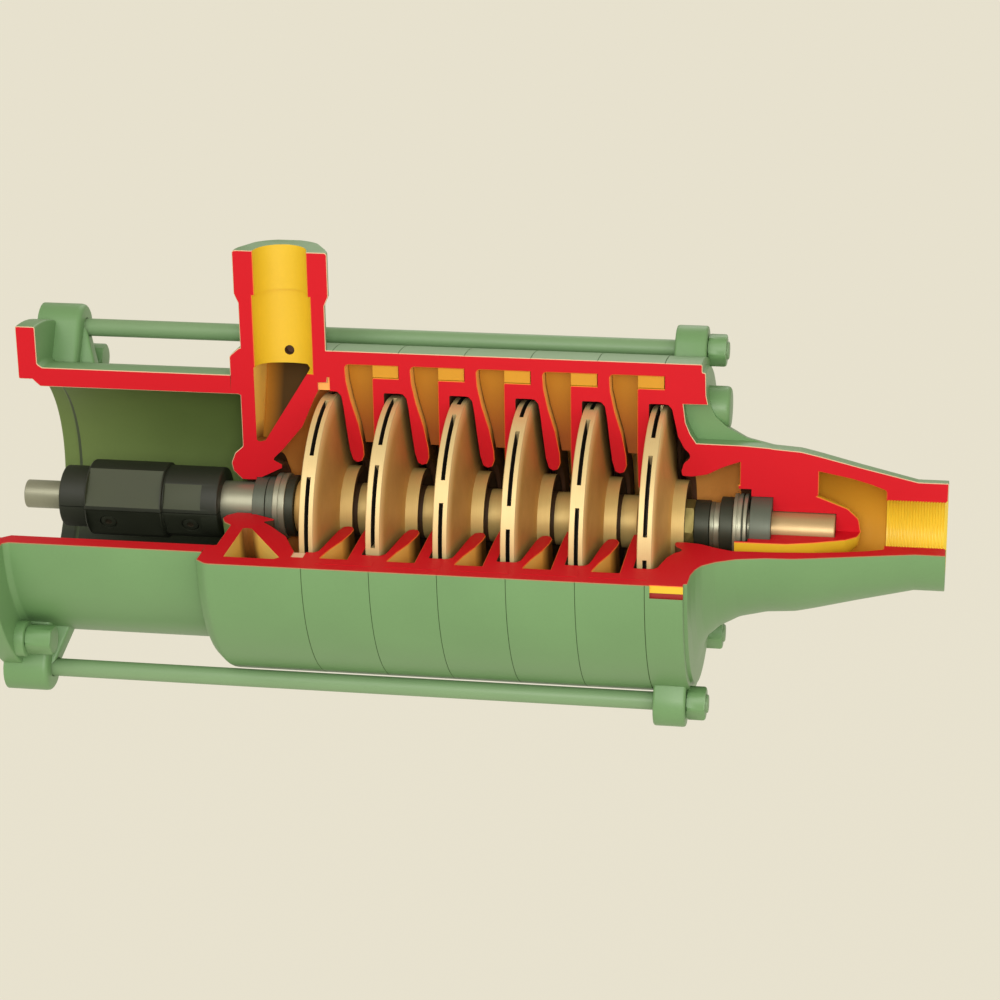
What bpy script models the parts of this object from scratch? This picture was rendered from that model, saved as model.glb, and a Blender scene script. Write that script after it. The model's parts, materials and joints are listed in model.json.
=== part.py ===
"""Cutaway horizontal multistage pump: six impellers on one shaft inside stacked ring casings.

The shaft runs along X. The motor flange face is the plane X = 0, the threaded suction port
faces +X and the threaded discharge nozzle points up. The quarter of the casings between
the front (-Y) and the top (+Z) is cut away, and the rotor inside is whole.
The origin lies on the motor flange's face, in the middle of its land below the shaft.
"""
from math import atan2, cos, pi, radians, sin

import bmesh
import bpy
from mathutils import Matrix, Vector

MM = 0.001
GAP = 0.3

# Driving dimensions in millimetres, measured from the motor flange face and the shaft axis
SHAFT_HEIGHT = 128.0
STAGES = 5
PITCH = 55.0
FIRST_JOINT = 272.0
CASING_R = 138.0
RING_BORE_R = 126.5
SPIGOT_R = 103.0
LENGTH = 777.5

FLANGE_R = 150.0
FLANGE_T = 17.0
LANTERN_R = 113.6
LANTERN_BORE_R = 97.0
LANTERN_END = 184.0
MOTOR_BOLT_PCR = 132.5
MOTOR_BOLT_R = 6.0
MOTOR_BOLT_START = 1.0
BOLT_HEAD_CORNER_R = 12.5
BOLT_HEAD_T = 22.0
BOLT_SEAT = (12.0, 25.0)
BOLT_SEAT_R = 15.0
BOLT_CLEARANCE = 0.7

ROD_Y = 73.6
ROD_Z = 127.4
ROD_R = 7.5
ROD_SLOT_R = 8.3
ROD_START = 18.0
ROD_END = 592.5
LUG_R = 20.0
LANTERN_LUG_END = 42.0
GUSSET_END = 58.0
GUSSET_T = 16.0
SUCTION_LUG = (548.6, 577.5)
NUT_AF = 24.0
NUT_T = 14.0

NOZZLE_X = 230.0
NOZZLE_R = 36.3
NOZZLE_BORE_R = 24.6
NOZZLE_TOP = 221.0
HEAD_BOTTOM = 180.0
HEAD_AF = 73.0
HEAD_CORNER_R = 39.8
THREAD_R = 22.5

IMPELLER_R = 97.0
FIRST_IMPELLER = 261.0
NECK_R = 36.5
SHAFT_R = 15.0
JOURNAL_R = 14.3
SEAL_SHAFT_R = 18.7
COUPLING_START = 36.0
COUPLING_NECK = 60.0
COUPLING_STEP = 127.0
COUPLING_COLLAR = 162.0
COUPLING_END = 175.0
COUPLING_NECK_R = 26.0
COUPLING_R = 32.0
COUPLING_SMALL_R = 30.0
SHAFT_START = 104.0
SHAFT_END = 687.5
MOTOR_SHAFT_R = 12.0
MOTOR_SHAFT_START = 1.0
LOCK_NUT_AF = 36.0
LOCK_NUT = (562.3, 573.0)
HUB_BORE_R = SHAFT_R + GAP

SUCTION_BORE_R = 28.3
SUCTION_END_R = 45.0
RIB_HALF_T = 5.0
RIB_COUNT = 3
POCKET_Y = (-30.0, 13.0)
PLUG_BOSS_PLACE = (33.0, 91.0)
PLUG_BOSS_X = (560.0, 598.5)
PLUG_BOSS_R = 18.0

# How far a cutter or a joined piece reaches past the face that it meets
PAST = 5.0

# Steps in a full turn
CASING_STEPS = 28
ROTOR_STEPS = 24
NOZZLE_STEPS = 32
SMALL_STEPS = 16

# Colour, metallic value and roughness of each finish
FINISHES = {
    "green_paint": ((0.20, 0.36, 0.17), 0.0, 0.5),
    "bronze": ((0.50, 0.36, 0.17), 0.9, 0.35),
    "steel": ((0.66, 0.66, 0.62), 1.0, 0.3),
    "dark_steel": ((0.10, 0.11, 0.08), 0.6, 0.45),
    "black_cast": ((0.05, 0.055, 0.045), 0.2, 0.55),
}


def clear_scene():
    """Remove every object that the file starts with."""
    for obj in list(bpy.data.objects):
        bpy.data.objects.remove(obj, do_unlink=True)


def new_collection(name):
    """Make a collection and link it to the scene."""
    collection = bpy.data.collections.new(name)
    bpy.context.scene.collection.children.link(collection)
    return collection


def finish_material(name):
    """Make one Principled material from the table of finishes."""
    colour, metallic, roughness = FINISHES[name]
    material = bpy.data.materials.new(name)
    material.use_nodes = True
    shader = material.node_tree.nodes["Principled BSDF"]
    shader.inputs["Base Color"].default_value = (*colour, 1.0)
    shader.inputs["Metallic"].default_value = metallic
    shader.inputs["Roughness"].default_value = roughness
    return material


class Workshop:
    """Keeps the collections and materials, and makes the pump's kinds of piece."""

    def __init__(self):
        self.parts = new_collection("multistage_pump")
        self.cutters = new_collection("cutters")
        self.materials = {name: finish_material(name) for name in FINISHES}

    def add(self, name, mesh, finish=None):
        """Link a mesh as a part with a finish, or as a cutter without one."""
        obj = bpy.data.objects.new(name, mesh)
        if finish is None:
            self.cutters.objects.link(obj)
            obj.hide_render = True
            obj.display_type = "WIRE"
        else:
            self.parts.objects.link(obj)
            mesh.materials.append(self.materials[finish])
            mesh.shade_smooth()
            mesh.set_sharp_from_angle(angle=radians(35))
        return obj

    def turned(self, name, profile, finish=None, steps=CASING_STEPS, x=0.0):
        """Revolve a profile of (x, radius) points about the shaft axis.

        A profile that starts and ends at radius 0 is a solid, any other one is closed to a ring.
        Facets are turned by half a step, so that the cut planes pass through their middles.
        """
        solid = profile[0][1] == 0.0
        half_step = pi / steps
        points = ordered(profile, solid)
        mesh = bpy.data.meshes.new(name)
        shape = bmesh.new()
        verts = [
            shape.verts.new((r * MM * cos(half_step), r * MM * sin(half_step), along * MM))
            for along, r in points
        ]
        for first, second in zip(verts, verts[1:] + ([] if solid else verts[:1])):
            shape.edges.new((first, second))
        shape.to_mesh(mesh)
        shape.free()
        obj = self.add(name, mesh, finish)
        obj.rotation_euler = (0.0, pi / 2, 0.0)
        obj.location = (x * MM, 0.0, SHAFT_HEIGHT * MM)
        screw = obj.modifiers.new("turn", "SCREW")
        screw.steps = steps
        screw.render_steps = steps
        screw.use_merge_vertices = True
        screw.merge_threshold = 0.00001
        screw.use_smooth_shade = True
        return obj

    def bar(self, name, start, length, radius, finish=None, steps=SMALL_STEPS, axis="X", turn=0.0):
        """Make a round or many-sided bar from its start point along X or Z."""
        mesh = bpy.data.meshes.new(name)
        shape = bmesh.new()
        bmesh.ops.create_cone(
            shape, cap_ends=True, segments=steps, radius1=radius * MM, radius2=radius * MM,
            depth=length * MM,
        )
        bmesh.ops.rotate(shape, verts=shape.verts, matrix=Matrix.Rotation(turn, 3, "Z"))
        shape.to_mesh(mesh)
        shape.free()
        obj = self.add(name, mesh, finish)
        middle = Vector((length / 2, 0, 0)) if axis == "X" else Vector((0, 0, length / 2))
        obj.rotation_euler = (0.0, pi / 2 if axis == "X" else 0.0, 0.0)
        obj.location = (Vector(start) + middle + Vector((0, 0, SHAFT_HEIGHT))) * MM
        return obj

    def upright(self, name, bottom, top, radius):
        """Make a round bar on the discharge nozzle's axis between two heights."""
        return self.bar(name, (NOZZLE_X, 0.0, bottom), top - bottom, radius,
                        steps=NOZZLE_STEPS, axis="Z", turn=pi / NOZZLE_STEPS)

    def box(self, name, low, high):
        """Make a box cutter or filler between two corners, relative to the shaft axis."""
        mesh = bpy.data.meshes.new(name)
        shape = bmesh.new()
        bmesh.ops.create_cube(shape, size=1.0)
        size = [(b - a) * MM for a, b in zip(low, high)]
        bmesh.ops.scale(shape, verts=shape.verts, vec=size)
        shape.to_mesh(mesh)
        shape.free()
        obj = self.add(name, mesh)
        obj.location = [(a + b) / 2 * MM for a, b in zip(low, high)]
        obj.location.z += SHAFT_HEIGHT * MM
        return obj

    def plate(self, name, outline, start, length, turn=0.0):
        """Extrude an outline of (y, z) points along X, turned about the shaft axis."""
        source = self.flat_outline(name, outline, length / 2)
        stand = Matrix(((0, 0, 1), (1, 0, 0), (0, 1, 0))).to_4x4()
        place = Matrix.Translation(((start + length / 2) * MM, 0.0, SHAFT_HEIGHT * MM))
        source.matrix_world = place @ Matrix.Rotation(turn, 4, "X") @ stand
        return self.welded(source)

    def side_plate(self, name, outline, y_low, y_high, turn=0.0):
        """Extrude an outline of (x, z) points across Y, turned about the shaft axis."""
        source = self.flat_outline(name, outline, (y_high - y_low) / 2)
        place = Matrix.Translation((0.0, 0.0, SHAFT_HEIGHT * MM))
        middle = Matrix.Translation((0.0, (y_low + y_high) / 2 * MM, 0.0))
        stand = Matrix.Rotation(pi / 2, 4, "X")
        source.matrix_world = place @ Matrix.Rotation(turn, 4, "X") @ middle @ stand
        return self.welded(source)

    def flat_outline(self, name, outline, half_thickness):
        """Make a filled 2D curve from an outline, thickened both ways."""
        curve = bpy.data.curves.new(name, "CURVE")
        curve.dimensions = "2D"
        curve.fill_mode = "BOTH"
        curve.extrude = half_thickness * MM
        spline = curve.splines.new("POLY")
        spline.points.add(len(outline) - 1)
        for point, (u, v) in zip(spline.points, outline):
            point.co = (u * MM, v * MM, 0.0, 1.0)
        spline.use_cyclic_u = True
        source = bpy.data.objects.new(name, curve)
        self.cutters.objects.link(source)
        return source

    def welded(self, source):
        """Turn a filled curve into a mesh cutter, with its caps joined to its sides."""
        bpy.context.view_layer.update()
        name = source.name
        graph = bpy.context.evaluated_depsgraph_get()
        mesh = bpy.data.meshes.new_from_object(source.evaluated_get(graph))
        shape = bmesh.new()
        shape.from_mesh(mesh)
        bmesh.ops.remove_doubles(shape, verts=shape.verts, dist=0.000001)
        bmesh.ops.recalc_face_normals(shape, faces=shape.faces)
        shape.to_mesh(mesh)
        shape.free()
        place = source.matrix_world.copy()
        bpy.data.objects.remove(source, do_unlink=True)
        obj = self.add(name, mesh)
        obj.matrix_world = place
        return obj


def ordered(profile, solid):
    """Run a profile down its outer side, from +X to -X, as the Screw modifier needs it."""
    if solid:
        return list(reversed(profile)) if profile[0][0] < profile[-1][0] else profile
    following = profile[1:] + profile[:1]
    area = sum(r0 * x1 - r1 * x0 for (x0, r0), (x1, r1) in zip(profile, following))
    return profile if area < 0 else list(reversed(profile))


def arc(centre, radius, start, end, count):
    """List the points of an arc, with angles in degrees from the outline's first axis."""
    angles = [radians(start + (end - start) * i / count) for i in range(count + 1)]
    return [(centre[0] + radius * cos(a), centre[1] + radius * sin(a)) for a in angles]


def combine(obj, operation, *tools):
    """Join or cut a piece with other solids by exact Booleans."""
    for tool in tools:
        modifier = obj.modifiers.new(f"{operation.lower()}_{tool.name}", "BOOLEAN")
        modifier.operation = operation
        modifier.solver = "EXACT"
        modifier.object = tool


def washer_profile(start, end, inner_r, outer_r):
    """Outline a plain ring between two stations and two radii."""
    return [(start, outer_r), (end, outer_r), (end, inner_r), (start, inner_r)]


def rod_places():
    """Name the three tie rods that the cutaway leaves, with their Y and Z."""
    return {
        "upper_rear": (ROD_Y, ROD_Z),
        "lower_front": (-ROD_Y, -ROD_Z),
        "lower_rear": (ROD_Y, -ROD_Z),
    }


def add_lugs(shop, owner, start, end, inner_r):
    """Join a round-ended lug to a casing for each tie rod, and drill it."""
    rod_circle = (ROD_Y ** 2 + ROD_Z ** 2) ** 0.5
    outline = [(-LUG_R, inner_r)] + arc((0.0, rod_circle), LUG_R, 180, 0, 10) + [(LUG_R, inner_r)]
    for place, (y, z) in rod_places().items():
        lug = shop.plate(f"{owner.name}_lug_{place}", outline, start, end - start,
                         rod_turn(y, z))
        combine(owner, "UNION", lug)


def rod_turn(y, z):
    """Give the angle about the shaft that brings a piece from the top to a tie rod."""
    return -atan2(y, z)


def add_gussets(shop, lantern):
    """Join a sloping web between the lantern's tube and each of its lugs."""
    inner_r = LANTERN_R - 8.6
    outline = [
        (LANTERN_LUG_END - 2.0, inner_r), (GUSSET_END, inner_r), (GUSSET_END, LANTERN_R + 0.5),
        (LANTERN_LUG_END - 2.0, 136.0),
    ]
    for place, (y, z) in rod_places().items():
        web = shop.side_plate(f"gusset_{place}", outline, -GUSSET_T / 2, GUSSET_T / 2,
                              rod_turn(y, z))
        combine(lantern, "UNION", web)


def rod_drills(shop, name, start, end):
    """Make the cutters for the tie-rod holes between two stations."""
    return [
        shop.bar(f"{name}_drill_{place}", (start, y, z), end - start, ROD_SLOT_R)
        for place, (y, z) in rod_places().items()
    ]


def motor_bolt_places():
    """Name the three motor bolts that the cutaway leaves, with their Y and Z."""
    reach = MOTOR_BOLT_PCR * cos(pi / 4)
    return {
        "upper_rear": (reach, reach),
        "lower_front": (-reach, -reach),
        "lower_rear": (reach, -reach),
    }


def build_lantern(shop, sector):
    """Make the tube that joins the motor flange to the discharge casing."""
    tube = [
        (0.0, 103.0), (0.0, FLANGE_R), (FLANGE_T, FLANGE_R), (FLANGE_T, 118.0),
        (FLANGE_T + 8.0, LANTERN_R), (LANTERN_END - GAP, LANTERN_R),
        (LANTERN_END - GAP, LANTERN_BORE_R), (18.0, LANTERN_BORE_R), (12.0, 103.0),
    ]
    lantern = shop.turned("motor_lantern", tube, "green_paint")
    add_lugs(shop, lantern, 0.5, LANTERN_LUG_END, 105.0)
    add_gussets(shop, lantern)
    combine(lantern, "DIFFERENCE", *rod_drills(shop, "lantern", ROD_START - GAP, GUSSET_END + PAST))
    for place, (y, z) in motor_bolt_places().items():
        seat = shop.bar(f"motor_bolt_seat_{place}", (BOLT_SEAT[0], y, z),
                        BOLT_SEAT[1] - BOLT_SEAT[0], BOLT_SEAT_R)
        hole = shop.bar(f"motor_bolt_hole_{place}", (-PAST, y, z), BOLT_SEAT[1] + 2 * PAST,
                        MOTOR_BOLT_R + BOLT_CLEARANCE)
        combine(lantern, "UNION", seat)
        combine(lantern, "DIFFERENCE", hole)
    combine(lantern, "DIFFERENCE", sector)


def build_discharge_casing(shop, sector):
    """Make the casing with the seal hub, the ring volute and the discharge nozzle."""
    body = [
        (184.0, 130.0), (184.0, 99.0), (192.0, 96.5), (192.0, 51.0), (185.0, 45.0),
        (181.5, 36.0), (183.0, 29.0), (190.0, 22.0), (203.0, 22.0), (203.0, 24.3),
        (214.0, 24.3), (214.0, 32.0), (225.5, 33.5), (225.5, 37.0), (221.0, 41.0),
        (229.0, 50.0), (244.0, 71.0), (255.0, 96.0), (258.5, SPIGOT_R), (258.5, 115.0),
        (268.5, 115.0), (268.5, SPIGOT_R), (FIRST_JOINT - GAP, SPIGOT_R),
        (FIRST_JOINT - GAP, CASING_R), (193.0, CASING_R),
    ]
    volute = [(204.3, 57.5), (204.3, 121.0), (246.0, 121.0), (249.5, 117.0), (212.0, 57.5)]
    casing = shop.turned("discharge_casing", body, "green_paint")
    pipe = shop.upright("nozzle_pipe", 110.0, HEAD_BOTTOM + 1.0, NOZZLE_R)
    head = shop.bar("nozzle_head", (NOZZLE_X, 0, HEAD_BOTTOM), NOZZLE_TOP - HEAD_BOTTOM,
                    HEAD_AF / 2 / cos(pi / 6), steps=6, axis="Z", turn=pi / 6)
    rounding = shop.upright("nozzle_head_rounding", HEAD_BOTTOM - PAST, NOZZLE_TOP + PAST,
                            HEAD_CORNER_R)
    combine(head, "INTERSECT", rounding)
    ring = shop.turned("volute_space", volute)
    bore = shop.upright("nozzle_bore", 117.0, HEAD_BOTTOM, NOZZLE_BORE_R)
    port = shop.upright("nozzle_thread", HEAD_BOTTOM - PAST, NOZZLE_TOP + PAST, THREAD_R)
    combine(casing, "UNION", pipe, head)
    combine(casing, "DIFFERENCE", ring, bore, port, sector)


def build_stage_casing(shop, index, sector):
    """Make one ring casing with the wall between its impeller and its return channel."""
    ring = [
        (0.0, CASING_R), (PITCH - GAP, CASING_R), (PITCH - GAP, RING_BORE_R),
        (9.6, RING_BORE_R), (10.5, 112.0), (14.0, 95.0), (20.0, 75.0), (23.5, 57.0),
        (24.0, 48.0), (22.0, 43.0), (18.0, 41.7), (14.5, 43.5), (12.0, 52.0), (9.5, 72.0),
        (7.5, 90.0), (6.0, 99.0), (3.0, SPIGOT_R - 0.5), (0.0, SPIGOT_R),
    ]
    x = FIRST_JOINT + index * PITCH
    casing = shop.turned(f"stage_casing_{index + 1}", ring, "green_paint", x=x)
    combine(casing, "DIFFERENCE", sector)


def build_diffuser(shop, index, sector):
    """Make the diffuser ring that wraps the next impeller and backs the return channel."""
    ring = [
        (32.6, 115.5), (PITCH - GAP, 115.5), (PITCH - GAP, SPIGOT_R), (38.2, SPIGOT_R),
        (38.2, 30.0), (33.5, 30.0), (32.6, 57.0),
    ]
    x = FIRST_JOINT + index * PITCH
    diffuser = shop.turned(f"diffuser_{index + 1}", ring, "green_paint", x=x)
    combine(diffuser, "DIFFERENCE", sector)


def build_suction_casing(shop, sector):
    """Make the suction end: rim with lugs, bell, port, and the bearing hub on its three ribs."""
    shell = [
        (547.0, CASING_R), (576.0, CASING_R), (576.0, 131.5), (579.5, 130.5), (580.5, 112.0),
        (583.0, 100.0), (587.0, 91.0), (597.0, 82.0), (613.0, 73.5), (635.0, 68.5), (658.0, 67.0),
        (674.0, 63.5), (707.0, 55.5), (740.0, 48.0), (753.0, SUCTION_END_R),
        (LENGTH, SUCTION_END_R), (LENGTH, 30.0), (LENGTH - 1.7, SUCTION_BORE_R),
        (728.0, SUCTION_BORE_R), (728.0, 36.5), (716.0, 41.0), (700.0, 45.5), (674.0, 50.5), (640.0, 54.0),
        (608.0, 56.0), (595.0, 51.0), (582.0, 44.0), (570.0, 41.8), (562.0, 42.0),
        (561.0, 46.0), (563.0, 53.0), (570.0, 59.0), (563.0, 66.0), (558.0, 76.0),
        (554.5, 92.0), (553.0, 99.0), (550.0, SPIGOT_R - 0.5), (547.0, SPIGOT_R),
    ]
    hub = [
        (688.0, 0.0), (688.0, 14.9), (636.5, 14.9), (636.5, 26.8), (618.5, 26.8),
        (618.5, 33.0), (608.0, 33.0), (608.0, 36.0), (650.0, 35.0), (672.0, 29.0),
        (697.0, 19.5), (706.0, 11.0), (708.0, 0.0),
    ]
    casing = shop.turned("suction_casing", shell, "green_paint")
    add_lugs(shop, casing, *SUCTION_LUG, 120.0)
    nose = shop.turned("bearing_hub", hub, steps=ROTOR_STEPS)
    rib = [(609.0, 34.5), (630.0, 34.5), (645.0, 30.0), (668.0, 26.0), (673.0, 30.0),
           (673.0, 53.0), (640.0, 58.0), (609.0, 58.5)]
    ribs = [
        shop.side_plate(f"hub_rib_{i}", rib, -RIB_HALF_T, RIB_HALF_T, 2 * pi * i / RIB_COUNT)
        for i in range(RIB_COUNT)
    ]
    pocket_outline = [(562.0, 103.5), (655.0, 105.0), (655.0, 67.8), (610.0, 70.2),
                      (573.0, 70.5), (568.0, 78.0), (564.0, 88.0)]
    pocket = shop.side_plate("priming_pocket", pocket_outline, *POCKET_Y)
    boss = shop.bar("plug_boss", (PLUG_BOSS_X[0], *PLUG_BOSS_PLACE),
                    PLUG_BOSS_X[1] - PLUG_BOSS_X[0], PLUG_BOSS_R, steps=20)
    combine(casing, "DIFFERENCE", pocket)
    combine(casing, "UNION", boss, nose, *ribs)
    drills = rod_drills(shop, "suction", SUCTION_LUG[0] - PAST, ROD_END + PAST)
    combine(casing, "DIFFERENCE", *drills, sector)


def build_tie_rods(shop):
    """Make the tie rods with their nuts at the suction end."""
    seat = SUCTION_LUG[1] + GAP
    for place, (y, z) in rod_places().items():
        shop.bar(f"tie_rod_{place}", (ROD_START, y, z), ROD_END - ROD_START, ROD_R,
                 "green_paint")
        nut = shop.bar(f"rod_nut_{place}", (seat, y, z), NUT_T, NUT_AF / 2 / cos(pi / 6),
                       "green_paint", steps=6)
        hole = shop.bar(f"rod_nut_hole_{place}", (seat - PAST, y, z), NUT_T + 2 * PAST,
                        ROD_SLOT_R)
        combine(nut, "DIFFERENCE", hole)


def build_motor_bolts(shop):
    """Make the hexagon bolts in the motor flange, flush with its face."""
    for place, (y, z) in motor_bolt_places().items():
        head = BOLT_SEAT[1] + GAP
        bolt = shop.bar(f"motor_bolt_{place}", (head, y, z), BOLT_HEAD_T, BOLT_HEAD_CORNER_R,
                        "green_paint", steps=6)
        shank = shop.bar(f"motor_bolt_shank_{place}", (MOTOR_BOLT_START, y, z),
                         head + PAST - MOTOR_BOLT_START, MOTOR_BOLT_R)
        combine(bolt, "UNION", shank)


def build_impellers(shop):
    """Make the six closed impellers, with an open outlet slot round each rim."""
    for index in range(STAGES + 1):
        hub_start = -22.0 if index == 0 else -8.4
        hub_end = 26.0 if index == STAGES else 46.0
        wheel = [
            (hub_start, 22.0), (0.0, 26.0), (0.0, IMPELLER_R), (4.6, IMPELLER_R), (5.0, 84.0),
            (7.6, 84.0), (8.0, IMPELLER_R), (12.0, IMPELLER_R), (14.5, 72.0), (17.5, 54.0),
            (20.5, 42.0), (24.5, NECK_R), (31.0, NECK_R), (31.0, 31.5), (23.0, 22.0),
            (hub_end, 22.0), (hub_end, HUB_BORE_R), (hub_start, HUB_BORE_R),
        ]
        shop.turned(f"impeller_{index + 1}", wheel, "bronze", steps=ROTOR_STEPS,
                    x=FIRST_IMPELLER + index * PITCH)


def build_shaft_train(shop):
    """Make the shaft and the pieces on it, from the motor stub to the bearing journal."""
    shaft = [
        (SHAFT_START, 0.0), (SHAFT_START, SEAL_SHAFT_R), (203.0, SEAL_SHAFT_R),
        (203.0, SHAFT_R), (636.0, SHAFT_R), (636.0, JOURNAL_R), (SHAFT_END - 1.0, JOURNAL_R),
        (SHAFT_END, JOURNAL_R - 1.0), (SHAFT_END, 0.0),
    ]
    shop.turned("pump_shaft", shaft, "steel", steps=ROTOR_STEPS)
    collars = {
        "seal_ring": ("dark_steel", 214.3, 221.0, 24.0),
        "seal_spring_housing": ("steel", 221.3, 238.7, 27.5),
        "shaft_sleeve": ("dark_steel", 573.3, 585.5, 20.5),
        "spacer_ring": ("steel", 585.8, 594.0, 19.5),
        "thrust_sleeve": ("dark_steel", 594.3, 605.0, 24.0),
        "thrust_ring": ("steel", 605.3, 616.5, 27.3),
    }
    for name, (finish, start, end, radius) in collars.items():
        shop.turned(name, washer_profile(start, end, HUB_BORE_R, radius), finish,
                    steps=ROTOR_STEPS)
    nut = shop.bar("shaft_lock_nut", (LOCK_NUT[0], 0, 0), LOCK_NUT[1] - LOCK_NUT[0],
                   LOCK_NUT_AF / 2 / cos(pi / 6), "steel", steps=6)
    hole = shop.bar("lock_nut_hole", (LOCK_NUT[0] - PAST, 0, 0),
                    LOCK_NUT[1] - LOCK_NUT[0] + 2 * PAST, HUB_BORE_R + GAP, steps=ROTOR_STEPS)
    combine(nut, "DIFFERENCE", hole)


def build_fixed_rings(shop):
    """Make the seal seat and the thrust seat, which stay with the casings but aren't cut."""
    shop.turned("seal_seat", washer_profile(203.3, 213.8, 17.5, 24.0), "dark_steel",
                steps=ROTOR_STEPS)
    shop.turned("thrust_seat", washer_profile(618.9, 636.2, 17.5, 26.4), "dark_steel",
                steps=ROTOR_STEPS)


def coupling_flats(shop, half):
    """Make the cutters for the flats on the front and the back of one coupling half.

    Each flat has its span along X, its distance from the axis and the angle of its normal,
    in degrees down from the top.
    """
    big = (COUPLING_NECK, COUPLING_STEP)
    small = (COUPLING_STEP, COUPLING_COLLAR)
    flats = {
        "upper": ((*big, 27.3, 52.5), (*small, 28.0, 63.0)),
        "lower": ((*big, 28.9, 115.5), (*small, 28.0, 115.5)),
    }
    cutters = []
    for start, end, reach, angle in flats[half]:
        outline = [(start, reach), (end, reach), (end, 2 * COUPLING_R), (start, 2 * COUPLING_R)]
        for side, sign in (("front", 1), ("rear", -1)):
            name = f"coupling_{half}_{side}_flat_{start:.0f}"
            cutters.append(shop.side_plate(name, outline, -COUPLING_R, COUPLING_R,
                                           sign * radians(angle)))
    return cutters


def build_coupling(shop):
    """Make the motor shaft's stub and the split coupling that clamps both shafts."""
    stub_end = SHAFT_START - 2.0
    stub = [(MOTOR_SHAFT_START, 0.0), (MOTOR_SHAFT_START, MOTOR_SHAFT_R - 1.0),
            (MOTOR_SHAFT_START + 1.0, MOTOR_SHAFT_R), (stub_end, MOTOR_SHAFT_R), (stub_end, 0.0)]
    shop.turned("motor_shaft_stub", stub, "steel", steps=ROTOR_STEPS)
    bore_step = SHAFT_START - 1.0
    sleeve = [
        (COUPLING_START, COUPLING_NECK_R), (COUPLING_NECK, COUPLING_NECK_R),
        (COUPLING_NECK, COUPLING_R), (COUPLING_STEP, COUPLING_R),
        (COUPLING_STEP, COUPLING_SMALL_R), (COUPLING_END, COUPLING_SMALL_R),
        (COUPLING_END, SEAL_SHAFT_R + GAP), (bore_step, SEAL_SHAFT_R + GAP),
        (bore_step, MOTOR_SHAFT_R + GAP), (COUPLING_START, MOTOR_SHAFT_R + GAP),
    ]
    reach = 2 * COUPLING_R
    halves = {"upper": (-reach, GAP / 2), "lower": (-GAP / 2, reach)}
    for half, (low, high) in halves.items():
        shell = shop.turned(f"coupling_{half}_half", sleeve, "black_cast", steps=ROTOR_STEPS)
        away = shop.box(f"coupling_{half}_cut", (COUPLING_START - PAST, -reach, low),
                        (COUPLING_END + PAST, reach, high))
        combine(shell, "DIFFERENCE", away, *coupling_flats(shop, half))


def build():
    """Build the whole pump."""
    clear_scene()
    shop = Workshop()
    sector = shop.box("sector", (-50.0, -400.0, 0.0), (LENGTH + 50.0, 0.0, 400.0))
    build_lantern(shop, sector)
    build_discharge_casing(shop, sector)
    for index in range(STAGES):
        build_stage_casing(shop, index, sector)
        build_diffuser(shop, index, sector)
    build_suction_casing(shop, sector)
    build_tie_rods(shop)
    build_motor_bolts(shop)
    build_impellers(shop)
    build_shaft_train(shop)
    build_fixed_rings(shop)
    build_coupling(shop)


build()
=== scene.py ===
"""Looks of a cutaway multistage pump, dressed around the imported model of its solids.

Sizes are in millimetres. X runs along the shaft from the motor flange's face, radii are measured
from the shaft's axis, and angles about it, in degrees, start at the front and rise over the top.
"""
from __future__ import annotations

import json
import logging
from collections.abc import Callable, Iterable, Sequence
from dataclasses import dataclass, field
from enum import Enum
from functools import cache
from math import acos, atan2, ceil, copysign, cos, degrees, pi, radians, sin, tan

import bmesh
import bpy
from mathutils import Matrix, Vector


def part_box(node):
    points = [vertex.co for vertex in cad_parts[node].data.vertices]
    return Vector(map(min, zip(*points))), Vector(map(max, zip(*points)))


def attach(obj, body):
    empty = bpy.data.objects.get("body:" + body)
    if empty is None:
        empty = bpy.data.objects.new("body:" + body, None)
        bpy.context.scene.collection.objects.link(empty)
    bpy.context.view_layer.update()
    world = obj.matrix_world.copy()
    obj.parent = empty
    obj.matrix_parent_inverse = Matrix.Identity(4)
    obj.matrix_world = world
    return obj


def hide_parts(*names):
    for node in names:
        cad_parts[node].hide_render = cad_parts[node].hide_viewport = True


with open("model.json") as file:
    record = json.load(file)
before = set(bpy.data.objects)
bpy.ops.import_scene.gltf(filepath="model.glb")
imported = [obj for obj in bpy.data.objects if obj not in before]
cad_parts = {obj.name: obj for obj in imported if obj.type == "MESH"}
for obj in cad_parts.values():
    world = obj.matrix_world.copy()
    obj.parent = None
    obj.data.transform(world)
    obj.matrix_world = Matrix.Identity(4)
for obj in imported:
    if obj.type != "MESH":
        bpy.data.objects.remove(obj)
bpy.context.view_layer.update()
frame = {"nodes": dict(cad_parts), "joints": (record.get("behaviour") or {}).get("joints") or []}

MM = 0.001

# Steps: of a whole turn and half of one, of a filler, of a lug's end, of a corner in degrees
STEPS, HALF_STEP = 96, 180.0 / 96
FILLER_STEPS, LUG_STEPS, CORNER_STEP = 5, 12, 15.0

# Reaches: of a weld in metres, of the gap between pieces, of a cutter to its sides and ends
WELD, GAP, FAR, PAST = 0.002 * MM, 0.3, 400.0, 50.0

# Angles: where the cut's upper face stands, what the cut leaves of a turn, and from where edges
# are shaded sharp, rounded, and broken beside a cut face
TOP, LEFT_BY_CUT = 90.0, 270.0
SHARP, ROUNDED, BROKEN = 32.0, 30.0, 20.0

# Sizes that more than one sub-assembly shares
TUBE_END, TUBE_R, TUBE_BORE_R = 184.0, 113.6, 97.0
CASING_R, SPIGOT_R = 138.0, 103.0
BREAK, BREAK_X = 0.6, 0.4
LUG_R, ROD_HOLE_R, ROD_HOLE_DEPTH = 20.0, 8.3, 60.0
BOLT_CIRCLE_R, NUT_HOLE_DEPTH = 132.5, 30.0
SEAL_SHAFT_R, RING_BORE_R, WHEEL_HUB = 18.7, 15.3, 8.4

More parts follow.
